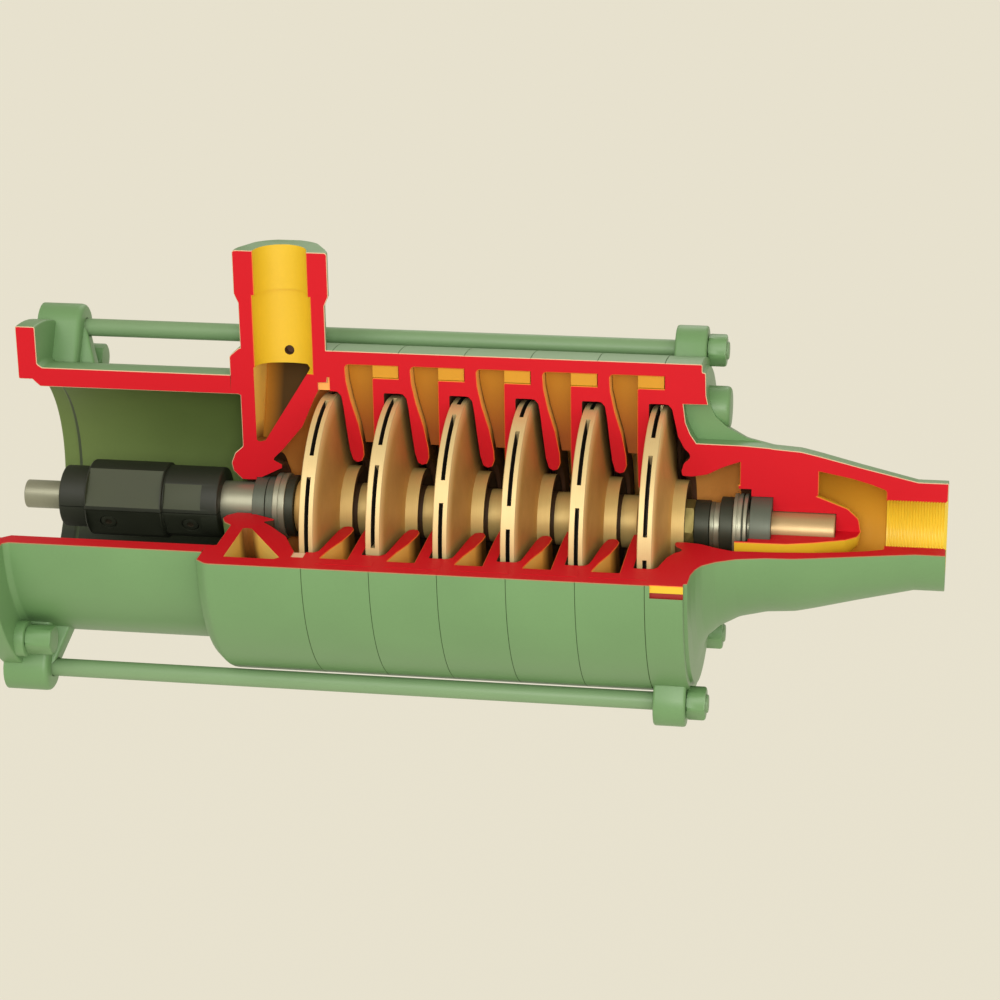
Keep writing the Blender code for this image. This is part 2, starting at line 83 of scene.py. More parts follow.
# Repeats in a metre of a paint's grain and ripple and of a metal's tarnish
GRAIN, RIPPLE, TARNISH = 420.0, 60.0, 38.0
FADE_MOTTLE, COAT_ROUGHNESS = 0.12, 0.3

log = logging.getLogger("pump")


class Measure(Enum):
    """What a fade follows: the radius, the station, or the height above the shaft's axis."""

    RADIUS = 0
    STATION = 1
    HEIGHT = 2


class Wire:
    """A value in a material's graph, which Python operators join with Math nodes."""

    def __init__(self, graph: Graph, socket: bpy.types.NodeSocket) -> None:
        """Keep the graph and the socket that gives the value."""
        self.graph = graph
        self.socket = socket

    def maths(self, operation: str, first: Wire | float, second: Wire | float) -> Wire:
        """Join two values with a Math node.

        Args:
            operation: The node's operation, such as ADD.
            first: The left value.
            second: The right value.

        Returns:
            The node's result.
        """
        return self.graph.node("ShaderNodeMath", {"operation": operation}, {0: first, 1: second})

    def __add__(self, other: Wire | float) -> Wire:
        """Add a value."""
        return self.maths("ADD", self, other)

    __radd__ = __add__

    def __mul__(self, other: Wire | float) -> Wire:
        """Multiply by a value."""
        return self.maths("MULTIPLY", self, other)

    __rmul__ = __mul__

    def __sub__(self, other: Wire | float) -> Wire:
        """Take a value away."""
        return self.maths("SUBTRACT", self, other)

    def __rsub__(self, other: Wire | float) -> Wire:
        """Take this value away from another."""
        return self.maths("SUBTRACT", other, self)

    def __truediv__(self, other: Wire | float) -> Wire:
        """Divide by a value."""
        return self.maths("DIVIDE", self, other)

    def __rtruediv__(self, other: Wire | float) -> Wire:
        """Divide another value by this one."""
        return self.maths("DIVIDE", other, self)

    def __pow__(self, other: Wire | float) -> Wire:
        """Raise to a power."""
        return self.maths("POWER", self, other)


class Graph:
    """The node graph of one material, around its Principled shader."""

    def __init__(self, name: str, height: float) -> None:
        """Make a material with a Principled shader and the object coordinates.

        Args:
            name: The material's name.
            height: The height of the shaft's axis above the origin, in metres.
        """
        self.material = bpy.data.materials.new(name)
        self.material.use_nodes = True
        self.tree = self.material.node_tree
        self.shader = self.tree.nodes["Principled BSDF"]
        self.height = height
        self.place = self.node("ShaderNodeTexCoord", output="Object")

    def node(self, kind: str, settings: dict[str, object] | None = None,
             inputs: dict[int | str, object] | None = None, output: int | str = 0) -> Wire:
        """Add a node, set it up and feed it.

        Args:
            kind: The node's type.
            settings: Its properties, which are set first.
            inputs: The values or links of its sockets, by index or name.
            output: The output to give back.

        Returns:
            One output of the node.
        """
        made = self.tree.nodes.new(kind)
        for key, value in (settings or {}).items():
            setattr(made, key, value)
        for key, value in (inputs or {}).items():
            self.feed(made.inputs[key], value)
        return Wire(self, made.outputs[output])

    def feed(self, socket: bpy.types.NodeSocket, value: object) -> None:
        """Link a wire to a socket, or set the socket to a plain value.

        Args:
            socket: The input.
            value: The wire or the plain value.
        """
        if isinstance(value, Wire):
            self.tree.links.new(value.socket, socket)
        else:
            socket.default_value = value

    def measured(self, measure: Measure) -> Wire:
        """Measure where the surface is, in metres.

        Args:
            measure: What to measure.

        Returns:
            The station, the height above the shaft's axis, or the radius.
        """
        split = self.node("ShaderNodeSeparateXYZ", inputs={0: self.place}).socket.node
        station, across, level = (Wire(self, split.outputs[name]) for name in "XYZ")
        if measure is Measure.STATION:
            return station
        above = level - self.height
        return above if measure is Measure.HEIGHT else (across * across + above * above) ** 0.5

    def noise(self, scale: float, detail: float = 2.0) -> Wire:
        """Give a noise value between 0 and 1, from its repeats in a metre and its octaves."""
        return self.node("ShaderNodeTexNoise", {"noise_dimensions": "3D"},
                         {"Vector": self.place, "Scale": scale, "Detail": detail})

    def lines(self, value: Wire, scale: float, detail: float = 3.0) -> Wire:
        """Give lathe lines: a noise that changes along one value only."""
        return self.node("ShaderNodeTexNoise", {"noise_dimensions": "1D"},
                         {"W": value, "Scale": scale, "Detail": detail})

    def blend(self, share: Wire | float, first: Wire | Sequence[float],
              second: Wire | Sequence[float]) -> Wire:
        """Mix two colours, each a wire or linear values, by a share."""
        one, two = (end if isinstance(end, Wire) else (*end, 1.0) for end in (first, second))
        return self.node("ShaderNodeMix", {"data_type": "RGBA"}, {0: share, 6: one, 7: two}, output=2)

    def mottled(self, shade: Wire, colour: tuple[int, int, int], share: float) -> Wire:
        """Darken and lighten a colour of 0 to 255 by up to a share, as the shade says."""
        full = linear(colour)
        return self.blend(shade, scaled(full, 1.0 - share), scaled(full, 1.0 + share))

    def bump(self, height: Wire, distance: float, strength: float) -> Wire:
        """Turn a height into a normal.

        Args:
            height: The height, between 0 and 1.
            distance: The real height of 1, in metres.
            strength: The share of the bump that shows.

        Returns:
            The normal.
        """
        return self.node("ShaderNodeBump", inputs={"Height": height, "Distance": distance,
                                                   "Strength": strength})

    def finish(self, colour: Wire, roughness: Wire, normal: Wire, metallic: float = 0.0,
               coat: float = 0.0, shine: float = 0.5) -> bpy.types.Material:
        """Feed the Principled shader.

        Args:
            colour: The base colour.
            roughness: The roughness.
            normal: The bumped normal.
            metallic: 1 on bare metal.
            coat: The weight of a clear gloss.
            shine: The level of the shine of what isn't metal.

        Returns:
            The material.
        """
        values = {"Base Color": colour, "Roughness": roughness, "Normal": normal,
                  "Metallic": metallic, "Coat Weight": coat, "Specular IOR Level": shine,
                  "Coat Roughness": COAT_ROUGHNESS}
        for name, value in values.items():
            self.feed(self.shader.inputs[name], value)
        return self.material


def linear(colour: tuple[int, int, int]) -> tuple[float, ...]:
    """Turn a colour of 0 to 255 into linear values."""
    shares = [value / 255 for value in colour]
    return tuple(s / 12.92 if s <= 0.04045 else ((s + 0.055) / 1.055) ** 2.4 for s in shares)


def scaled(colour: Sequence[float], share: float) -> tuple[float, ...]:
    """Scale a linear colour."""
    return tuple(value * share for value in colour)


@dataclass(frozen=True)
class Fade:
    """A second colour that takes over from the first between two measures in millimetres."""

    colour: tuple[int, int, int]
    start: float
    end: float
    measure: Measure

    def applied(self, graph: Graph, first: Wire, shade: Wire) -> Wire:
        """Fade one colour into the other.

        Args:
            graph: The material's graph.
            first: The first colour.
            shade: The value that darkens and lightens the second colour.

        Returns:
            The colour to show.
        """
        share = (graph.measured(self.measure) - self.start * MM) / ((self.end - self.start) * MM)
        return graph.blend(share, first, graph.mottled(shade, self.colour, FADE_MOTTLE))


@dataclass(frozen=True)
class Paint:
    """Brushed or sprayed paint on a casting.

    Fields are the colour, the roughness, the share by which patches darken, the size of the
    orange-peel bump in millimetres, the weight of the gloss over it, the patches' repeats in a
    metre, the level of the shine and the fade to a second colour.
    """

    colour: tuple[int, int, int]
    roughness: float = 0.45
    mottle: float = 0.12
    peel: float = 0.06
    coat: float = 0.1
    patch: float = 14.0
    shine: float = 0.5
    fade: Fade | None = None

    def material(self, name: str, height: float) -> bpy.types.Material:
        """Make the paint's material.

        Args:
            name: The material's name.
            height: The shaft axis's height, in metres.

        Returns:
            The material.
        """
        graph = Graph(name, height)
        patches = graph.noise(self.patch, 3.0)
        grain = graph.noise(GRAIN)
        shade = patches * 0.75 + grain * 0.25
        colour = graph.mottled(shade, self.colour, self.mottle)
        if self.fade:
            colour = self.fade.applied(graph, colour, shade)
        roughness = self.roughness + 0.12 * (patches - 0.5) + 0.08 * (grain - 0.5)
        peel = grain * 0.6 + graph.noise(RIPPLE) * 0.4
        normal = graph.bump(peel, self.peel * MM, 0.5)
        return graph.finish(colour, roughness, normal, 0.0, self.coat, self.shine)


@dataclass(frozen=True)
class TurnedMetal:
    """Bare metal from a lathe, with fine rings and a little tarnish.

    Fields are the colour, the tarnish's colour, the roughness, the metallic value, the tarnish's
    share, the fade to a second colour, and the pitch and the depth of the rings in millimetres.
    """

    colour: tuple[int, int, int]
    tarnish: tuple[int, int, int]
    roughness: float = 0.5
    metallic: float = 0.5
    share: float = 0.25
    fade: Fade | None = None
    pitch: float = 0.7
    depth: float = 0.02

    def material(self, name: str, height: float) -> bpy.types.Material:
        """Make the metal's material.

        Args:
            name: The material's name.
            height: The shaft axis's height, in metres.

        Returns:
            The material.
        """
        graph = Graph(name, height)
        turned = graph.measured(Measure.RADIUS) + graph.measured(Measure.STATION) * 0.8
        rings = graph.lines(turned, 1 / (self.pitch * MM))
        patches = graph.noise(TARNISH, 4.0)
        stain = (patches * patches) * self.share * 2 + (rings - 0.5) * 0.15
        colour = graph.blend(stain, linear(self.colour), linear(self.tarnish))
        if self.fade:
            colour = self.fade.applied(graph, colour, patches)
        roughness = self.roughness + (rings - 0.5) * 0.14 + (patches - 0.5) * 0.12
        normal = graph.bump(rings, self.depth * MM, 0.6)
        return graph.finish(colour, roughness, normal, self.metallic)


class Finish(Enum):
    """The pump's finishes."""

    GREEN = Paint((109, 148, 97), roughness=0.45)
    # Tie rods: a lighter copy of the green paint, painted light
    ROD = Paint((124, 155, 113), roughness=0.5, mottle=0.08, coat=0.05)
    # Inside of the lantern: a darker copy of the green paint as painted shade, fading to near black
    # below the shaft's axis as a painted shadow under the coupling
    LANTERN_INSIDE = Paint((104, 125, 64), roughness=0.6, mottle=0.18, coat=0.0,
                           fade=Fade((34, 42, 26), -15.0, -65.0, Measure.HEIGHT))
    # Dark green on the lantern's step into the spigot recess: a painted shadow line
    SEAM = Paint((52, 66, 40), roughness=0.7)
    JOINT = Paint((86, 116, 72), roughness=0.7)
    # Darker red of the notch's lower face in the suction rim: painted shade on the cut paint
    DEEP_CUT = Paint((150, 26, 20), roughness=0.5, mottle=0.15)
    CUT = Paint((203, 9, 29), roughness=0.55, mottle=0.06, coat=0.0, patch=9.0, shine=0.25)
    YELLOW = Paint((226, 188, 40), roughness=0.5, mottle=0.1)
    # Inside of the suction bell: a more orange copy of the yellow paint, a painted shade tint
    AMBER = Paint((226, 168, 50), roughness=0.5, mottle=0.1)
    # Return channels: yellow made paler to make up for their shade (painted light), fading to dark
    # brown at the inner radius (painted shade)
    CHANNEL = Paint((255, 198, 100), roughness=0.55, mottle=0.08,
                    fade=Fade((84, 54, 22), 76.0, 60.0, Measure.RADIUS))
    # Guide vanes: dark brown at the inner radius fading to ochre outwards, painted shade on the yellow
    # paint
    VANE = Paint((142, 72, 10), roughness=0.55, mottle=0.12, coat=0.0, shine=0.25,
                 fade=Fade((176, 118, 18), 70.0, 118.0, Measure.RADIUS))
    BAR = Paint((208, 148, 38), roughness=0.5, mottle=0.08, coat=0.0, shine=0.3)
    THREAD = Paint((242, 208, 58), roughness=0.45, mottle=0.06)
    # Dark brown inside the wheel chambers and other hollows: partly the bare walls' own dark tone,
    # partly painted shade of the deep hollows
    CHAMBER = Paint((92, 60, 38), roughness=0.6, mottle=0.3)
    # Wall behind the first impeller, groove side and suction chamber: ochre made paler to make up for
    # their shade, painted light
    OCHRE = Paint((246, 168, 82), roughness=0.55, mottle=0.2)
    # Volute: ochre darkening to brown away from its left wall, painted shade of its depth
    VOLUTE = Paint((172, 116, 36), roughness=0.6, mottle=0.2, coat=0.0, shine=0.1,
                   fade=Fade((74, 53, 22), 206.0, 220.0, Measure.STATION))
    # Volute's left wall: paler than the yellow paint to make up for its shade (painted light), fading
    # to brown at the inner radius (painted shade)
    LEFT_WALL = Paint((255, 214, 108), roughness=0.55, mottle=0.08,
                      fade=Fade((140, 86, 30), 72.0, 57.0, Measure.RADIUS))
    # Hub recesses of the impellers and beside the seal hub: dark brown, painted shade
    RECESS = Paint((66, 44, 18), roughness=0.7, mottle=0.2, coat=0.0)
    # Pale strips along the cut's edges and the discharge groove's walls: painted highlights; tan is the
    # same highlight dimmed on the level cut
    EDGE_PALE = Paint((228, 188, 154), roughness=0.5, mottle=0.05)
    EDGE_TAN = Paint((166, 128, 88), roughness=0.55, mottle=0.05)
    EDGE_ORANGE = Paint((240, 112, 44), roughness=0.5, mottle=0.05)
    # Impeller bronze lightens towards the rim as a painted highlight; the rims and blade ends are a
    # paler bronze, painted highlights too
    BRONZE = TurnedMetal((212, 172, 100), (150, 112, 58), metallic=0.35, share=0.3,
                         fade=Fade((240, 208, 144), 84.0, 96.0, Measure.RADIUS))
    HUB = TurnedMetal((212, 186, 118), (170, 134, 76), metallic=0.35, share=0.2)
    RIM = TurnedMetal((226, 200, 144), (190, 160, 104), metallic=0.35, share=0.2)
    BRASS = TurnedMetal((150, 136, 76), (116, 100, 52), share=0.15)
    STEEL = TurnedMetal((160, 160, 140), (126, 122, 104), roughness=0.42, metallic=0.65)
    SATIN = TurnedMetal((134, 136, 118), (84, 84, 72), roughness=0.42, metallic=0.7)
    DARK = TurnedMetal((62, 66, 54), (34, 36, 30))
    SLATE = TurnedMetal((96, 103, 90), (60, 66, 60), metallic=0.4)
    JOURNAL = TurnedMetal((190, 162, 116), (140, 118, 88), roughness=0.42)
    BLACK = Paint((34, 38, 27), roughness=0.55, mottle=0.25, peel=0.12, coat=0.0, patch=30.0)
    # Upper coupling half's flats: a lighter copy of the black, painted light
    FLAT = Paint((62, 68, 48), roughness=0.6, mottle=0.2, peel=0.12, coat=0.0, patch=30.0)
    # Near black in the impellers' outlet slots and the screws' sockets: painted shade
    SLOT = Paint((42, 34, 18), roughness=0.7, mottle=0.2, coat=0.0)


# Finishes beside which a cut edge gets a pale painted highlight strip, and those beside which it gets
# an orange strip
HIGHLIGHT_NEIGHBOURS = (Finish.GREEN, Finish.LANTERN_INSIDE, Finish.SEAM)
ORANGE_NEIGHBOURS = (Finish.YELLOW, Finish.AMBER, Finish.CHANNEL, Finish.BAR)


class Body(Enum):
    """What a piece moves with."""

    HOUSING = "housing"
    ROTOR = "rotor"


class Operation(Enum):
    """How one shape changes another."""

    JOIN = "UNION"
    CUT = "DIFFERENCE"
    KEEP = "INTERSECT"


class Plane(Enum):
    """The plane of a flat outline: across the shaft, or along it and upright."""

    ACROSS = "YZ"
    ALONG = "XZ"


@dataclass(frozen=True)
class Run:
    """A stretch of a turned outline in one finish.

    Each point is a station, a radius and, on a rounded corner, the rounding's radius.
    """

    finish: Finish
    points: tuple[tuple[float, ...], ...]


@dataclass(frozen=True)
class Filler:
    """A block that is swept about the shaft, such as a guide vane.

    The outline is of stations and radii. The block starts at the angle and covers the sweep.
    """

    finish: Finish
    outline: tuple[tuple[float, float], ...]
    angle: float
    sweep: float


@dataclass(frozen=True)
class Stations:
    """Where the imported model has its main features, in millimetres."""

    height: float
    first_joint: float
    pitch: float
    stages: int
    length: float
    first_wheel: float
    rods: dict[str, tuple[float, float]]
    rod_start: float
    rod_end: float

    @classmethod
    def read(cls) -> Stations:
        """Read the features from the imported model.

        Returns:
            The stations.
        """
        def low(node: str) -> Vector:
            """Give the low corner of a node's box."""
            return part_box(node)[0] / MM

        def high(node: str) -> Vector:
            """Give the high corner of a node's box."""
            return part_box(node)[1] / MM

        names = [name for name in frame["nodes"] if name.startswith("tie_rod_")]
        middles = {name.removeprefix("tie_rod_"): (low(name) + high(name)) / 2 for name in names}
        height = frame["joints"][0]["pos_m"][2] / MM
        wheel = high("impeller_2").x - high("impeller_1").x
        return cls(
            height=height,
            first_joint=low("stage_casing_1").x,
            pitch=low("stage_casing_2").x - low("stage_casing_1").x,
            stages=sum(name.startswith("stage_casing_") for name in frame["nodes"]),
            length=high("suction_casing").x,
            first_wheel=low("impeller_2").x + WHEEL_HUB - wheel,
            rods={place: (middle.y, middle.z - height) for place, middle in middles.items()},
            rod_start=low(names[0]).x,
            rod_end=high(names[0]).x,
        )

    def bolt(self, place: str) -> tuple[float, ...]:
        """Give a motor bolt's Y and height above the axis, on the side of its tie rod."""
        reach = BOLT_CIRCLE_R * cos(pi / 4)
        return tuple(copysign(reach, value) for value in self.rods[place])


def softened(points: Sequence[tuple[float, ...]]) -> list[tuple[float, float]]:
    """Replace the rounded corners of an outline by short curves.

    Args:
        points: Stations and radii, with a third number where the corner is rounded.

    Returns:
        The plain points.
    """
    made: list[tuple[float, float]] = []
    for before, point, after in zip((points[0], *points), points, (*points[1:], points[-1])):
        corner = Vector(point[:2])
        if len(point) < 3:
            made.append(tuple(corner))
            continue
        one = (Vector(before[:2]) - corner).normalized()
        two = (Vector(after[:2]) - corner).normalized()
        turning = pi - acos(max(-1.0, min(1.0, one.dot(two))))
        reach = point[2] * tan(turning / 2)
        start, end = corner + one * reach, corner + two * reach
        count = max(2, ceil(degrees(turning) / CORNER_STEP))
        for step in range(count + 1):
            share = step / count
            curve = start.lerp(corner, share).lerp(corner.lerp(end, share), share)
            made.append(tuple(curve))
    return made


class Shape:
    """A mesh in the making, with the finishes of its faces."""

    def __init__(self, stations: Stations) -> None:
        """Start an empty mesh.

        Args:
            stations: The pump's stations, for the height of the shaft's axis.
        """
        self.stations = stations
        self.mesh = bmesh.new()
        self.finishes: list[Finish] = []

    def index(self, finish: Finish) -> int:
        """Give a finish's place in the list of finishes, adding it if it is new.

        Args:
            finish: The finish.

        Returns:
            Its place.
        """
        if finish not in self.finishes:
            self.finishes.append(finish)
        return self.finishes.index(finish)

    def painted(self, before: set[bmesh.types.BMFace], finish: Finish) -> list[bmesh.types.BMFace]:
        """Paint the new faces.

        Args:
            before: The faces that were there before.
            finish: The finish.

        Returns:
            The new faces.
        """
        fresh = [face for face in self.mesh.faces if face not in before]
        for face in fresh:
            face.material_index = self.index(finish)
        return fresh

    def axis(self) -> Vector:
        """Give a point on the shaft's axis."""
        return Vector((0.0, 0.0, self.stations.height * MM))

    def point(self, x: float, radius: float, angle: float) -> Vector:
        """Give a place from its station, radius and angle."""
        turn = radians(angle)
        return self.axis() + Vector((x, -radius * cos(turn), radius * sin(turn))) * MM

    def turn(self, runs: Iterable[Run], x: float = 0.0, start: float = HALF_STEP,
             sweep: float = 360.0, steps: int = STEPS) -> Shape:
        """Spin outlines about the shaft's axis.

        Args:
            runs: The stretches of the outline, which meet at their ends.
            x: The station that the outline is measured from.
            start: The angle where the spin starts.
            sweep: The angle that it covers.
            steps: The number of steps in it.

        Returns:
            This shape.
        """
        whole = sweep >= 360.0
        for run in runs:
            before = set(self.mesh.faces)
            corners = [self.mesh.verts.new(self.point(x + along, max(radius, 0.0), start))
                       for along, radius in softened(run.points)]
            edges = [self.mesh.edges.new(pair) for pair in zip(corners, corners[1:])]
            bmesh.ops.spin(self.mesh, geom=[*corners, *edges], cent=self.axis(), axis=(-1, 0, 0),
                           angle=radians(sweep), steps=steps, use_merge=whole)
            self.painted(before, run.finish)
        self.weld()
        return self

    def weld(self) -> None:
        """Merge doubled corners and point every face outwards."""
        bmesh.ops.remove_doubles(self.mesh, verts=self.mesh.verts, dist=WELD)
        bmesh.ops.recalc_face_normals(self.mesh, faces=self.mesh.faces)

    def fill(self, filler: Filler, x: float = 0.0) -> Shape:
        """Sweep a filler's outline through its part turn about the shaft.

        Args:
            filler: The filler.
            x: The station that its outline is measured from.

        Returns:
            This shape.
        """
        before = set(self.mesh.faces)
        corners = [self.mesh.verts.new(self.point(x + along, radius, filler.angle))
                   for along, radius in filler.outline]
        start = self.mesh.faces.new(corners)
        bmesh.ops.spin(self.mesh, geom=[start, *start.edges, *corners], cent=self.axis(),
                       axis=(-1, 0, 0), angle=radians(filler.sweep), steps=FILLER_STEPS)
        bmesh.ops.recalc_face_normals(self.mesh, faces=self.painted(before, filler.finish))
        return self

    def bar(self, finish: Finish, start: tuple[float, float, float], length: float, radius: float,
            sides: int = 32, upright: bool = False, turn: float = 0.0,
            end_radius: float | None = None) -> Shape:
        """Add a round or many-sided bar.

        Args:
            finish: The finish of its faces.
            start: The middle of its first end: station, Y and height above the axis.
            length: Its length along X, or along Z where it is upright.
            radius: The radius of its corners.
            sides: The number of its sides.
            upright: Whether it stands along Z.
            turn: Its turn about its own axis, in degrees.
            end_radius: The radius at the other end, where it tapers.

        Returns:
            This shape.
        """
        before = set(self.mesh.faces)
        far = radius if end_radius is None else end_radius
        made = bmesh.ops.create_cone(self.mesh, cap_ends=True, segments=sides, radius1=radius * MM,
                                     radius2=far * MM, depth=length * MM)
        spin = Matrix.Rotation(radians(turn), 4, "Z")
        lay = Matrix.Identity(4) if upright else Matrix.Rotation(pi / 2, 4, "Y")
        middle = Vector((0, 0, length / 2)) if upright else Vector((length / 2, 0, 0))
        shift = Matrix.Translation(self.axis() + (Vector(start) + middle) * MM)
        bmesh.ops.transform(self.mesh, verts=made["verts"], matrix=shift @ lay @ spin)
        self.painted(before, finish)
        return self

    def prism(self, finish: Finish, plane: Plane, outline: Sequence[tuple[float, float]],
              low: float, high: float, turn: float = 0.0) -> Shape:
        """Extrude a flat outline and turn it about the shaft.

        Args:
            finish: The finish of its faces.
            plane: The outline's plane.
            outline: Its corners, as Y and Z or as station and Z, from the shaft's axis.
            low: Where it starts, along X or Y.
            high: Where it ends.
            turn: The turn about the shaft, in degrees from the top towards the front.

        Returns:
            This shape.
        """
        before = set(self.mesh.faces)
        across = plane is Plane.ACROSS
        place = (lambda u, v: (low, u, v)) if across else (lambda u, v: (u, low, v))
        corners = [self.mesh.verts.new(Vector(place(u, v)) * MM) for u, v in outline]
        face = self.mesh.faces.new(corners)
        made = bmesh.ops.extrude_face_region(self.mesh, geom=[face])
        moved = [item for item in made["geom"] if isinstance(item, bmesh.types.BMVert)]
        way = Vector((high - low, 0, 0)) if across else Vector((0, high - low, 0))
        bmesh.ops.translate(self.mesh, verts=moved, vec=way * MM)
        matrix = Matrix.Translation(self.axis()) @ Matrix.Rotation(radians(turn), 4, "X")
        bmesh.ops.transform(self.mesh, verts=[*corners, *moved], matrix=matrix)
        bmesh.ops.recalc_face_normals(self.mesh, faces=self.painted(before, finish))
        return self

    def box(self, finish: Finish, low: tuple[float, float, float],
            high: tuple[float, float, float]) -> Shape:
        """Add a box between two corners, measured from the shaft's axis."""
        outline = [(low[1], low[2]), (high[1], low[2]), (high[1], high[2]), (low[1], high[2])]
        return self.prism(finish, Plane.ACROSS, outline, low[0], high[0])

    def rounded(self, width: float, segments: int = 3,
                which: Callable[[bmesh.types.BMEdge], bool] | None = None) -> Shape:
        """Round the sharp edges.

        Args:
            width: How far the rounding reaches from the edge.
            segments: The number of its faces.
            which: A test that an edge must also pass.

        Returns:
            This shape.
        """
        edges = [edge for edge in self.mesh.edges
                 if edge.is_manifold and edge.calc_face_angle() > radians(ROUNDED)
                 and (which is None or which(edge))]
        bmesh.ops.bevel(self.mesh, geom=edges, offset=width * MM, segments=segments, profile=0.5,
                        affect="EDGES", clamp_overlap=True, material=-1)
        return self

    def combined(self, operation: Operation, *others: Shape) -> Shape:
        """Join this shape with others, cut them from it, or keep what they share.

        Args:
            operation: What to do.
            others: The other shapes, which are used up.

        Returns:
            This shape.
        """
        body = self.spare_object("body")
        tools = [other.spare_object("tool") for other in others]
        for tool in tools:
            modifier = body.modifiers.new(tool.name, "BOOLEAN")
            modifier.operation = operation.value
            modifier.solver = "EXACT"
            modifier.material_mode = "TRANSFER"
            modifier.object = tool
        graph = bpy.context.evaluated_depsgraph_get()
        result = bpy.data.meshes.new_from_object(body.evaluated_get(graph))
        self.mesh.clear()
        self.mesh.from_mesh(result)
        self.finishes = [Finish[material.name.upper()] for material in result.materials]
        for used in (body, *tools):
            mesh = used.data
            bpy.data.objects.remove(used)
            bpy.data.meshes.remove(mesh)
        bpy.data.meshes.remove(result)
        bmesh.ops.remove_doubles(self.mesh, verts=self.mesh.verts, dist=WELD)
        bmesh.ops.dissolve_degenerate(self.mesh, dist=WELD, edges=self.mesh.edges)
        return self

    def spare_object(self, name: str) -> bpy.types.Object:
        """Make a plain object of this shape.

        Args:
            name: The object's name.

        Returns:
            The object.
        """
        mesh = bpy.data.meshes.new(name)
        self.mesh.to_mesh(mesh)
        for finish in self.finishes:
            mesh.materials.append(material_of(finish, self.stations.height))
        return linked(name, mesh)

    def without_quarter(self) -> Shape:
        """Cut away the quarter between the front and the top, and paint the cut faces."""
        quarter = Shape(self.stations).box(Finish.CUT, (-PAST, -FAR, 0.0),
                                           (self.stations.length + PAST, 0.0, FAR))
        return self.combined(Operation.CUT, quarter)

    def capped(self) -> Shape:
        """Close the ends of a part turn with cut faces.

        Returns:
            This shape.
        """
        before = set(self.mesh.faces)
        open_edges = [edge for edge in self.mesh.edges if edge.is_boundary]
        bmesh.ops.holes_fill(self.mesh, edges=open_edges, sides=0)
        self.painted(before, Finish.CUT)
        bmesh.ops.recalc_face_normals(self.mesh, faces=self.mesh.faces)
        return self

    def edged(self, width: float = 0.55) -> Shape:
        """Break the edges of the cut faces, and paint each by the finish beside it.

        Args:
            width: How far the broken edge reaches.

        Returns:
            This shape.
        """
        # Strips beside green paint are pale painted highlights, dimmed to tan on the level cut; strips
        # beside yellow are orange
        cut, shaded = self.index(Finish.CUT), self.index(Finish.EDGE_TAN)
        level = self.axis().z + 2 * width * MM
        strips_by = {self.index(kind): self.index(Finish.EDGE_PALE) for kind in HIGHLIGHT_NEIGHBOURS}
        strips_by |= {self.index(kind): self.index(Finish.EDGE_ORANGE) for kind in ORANGE_NEIGHBOURS}

        def borders(edge: bmesh.types.BMEdge) -> bool:
            """Tell whether an edge lies between a cut face and a finish that gets a strip."""
            kinds = [face.material_index for face in edge.link_faces]
            return len(kinds) == 2 and kinds.count(cut) == 1 and bool(set(kinds) & set(strips_by))

        edges = [edge for edge in self.mesh.edges
                 if borders(edge) and edge.calc_face_angle() > radians(BROKEN)]
        made = bmesh.ops.bevel(self.mesh, geom=edges, offset=width * MM, segments=1, profile=0.5,
                               affect="EDGES", clamp_overlap=False, material=-1)
        strips = set(made["faces"])
        chosen: dict[bmesh.types.BMFace, int] = {}
        for strip in strips:
            beside = {face.material_index for edge in strip.edges for face in edge.link_faces
                      if face not in strips}
            kinds = [strips_by[kind] for kind in strips_by if kind in beside]
            chosen[strip] = kinds[0] if kinds else cut
            low_edge = max(corner.co.z for corner in strip.verts) < level
            if low_edge and self.finishes[chosen[strip]] is Finish.EDGE_PALE:
                chosen[strip] = shaded
        for strip, kind in chosen.items():
            strip.material_index = kind
        return self

    def publish(self, node: str, body: Body = Body.HOUSING, slot: str = "green_paint",
                angle: float = SHARP) -> None:
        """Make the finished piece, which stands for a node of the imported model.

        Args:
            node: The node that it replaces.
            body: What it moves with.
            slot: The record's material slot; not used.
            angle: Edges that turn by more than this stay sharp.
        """
        loose = [edge for edge in self.mesh.edges if not edge.link_faces]
        bmesh.ops.delete(self.mesh, geom=loose, context="EDGES")
        piece = self.spare_object(f"{node}_detail")
        piece.data.shade_smooth()
        piece.data.set_sharp_from_angle(angle=radians(angle))
        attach(piece, body.value)
        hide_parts(node)
        holes = sum(not edge.is_manifold for edge in self.mesh.edges)
        log.info("%s: %d faces, %d open edges", piece.name, len(piece.data.polygons), holes)
        self.mesh.free()


def linked(name: str, data: bpy.types.ID) -> bpy.types.Object:
    """Make an object and put it in the scene.

    Args:
        name: The object's name.
        data: Its mesh, lamp or camera.

    Returns:
        The object.
    """
    made = bpy.data.objects.new(name, data)
    bpy.context.scene.collection.objects.link(made)
    return made


@cache
def material_of(finish: Finish, height: float) -> bpy.types.Material:
    """Make a finish's material once, for a height of the shaft's axis in millimetres."""
    return finish.value.material(finish.name.lower(), height * MM)


def rod_turn(y: float, z: float) -> float:
    """Give the turn about the shaft that brings a piece from the top to a place."""
    return -degrees(atan2(y, z))


def beyond(axis: int, limit: float) -> Callable[[bmesh.types.BMEdge], bool]:
    """Give the test of whether an edge lies wholly past a limit along X, Y or Z."""
    return lambda edge: min(corner.co[axis] for corner in edge.verts) > limit * MM


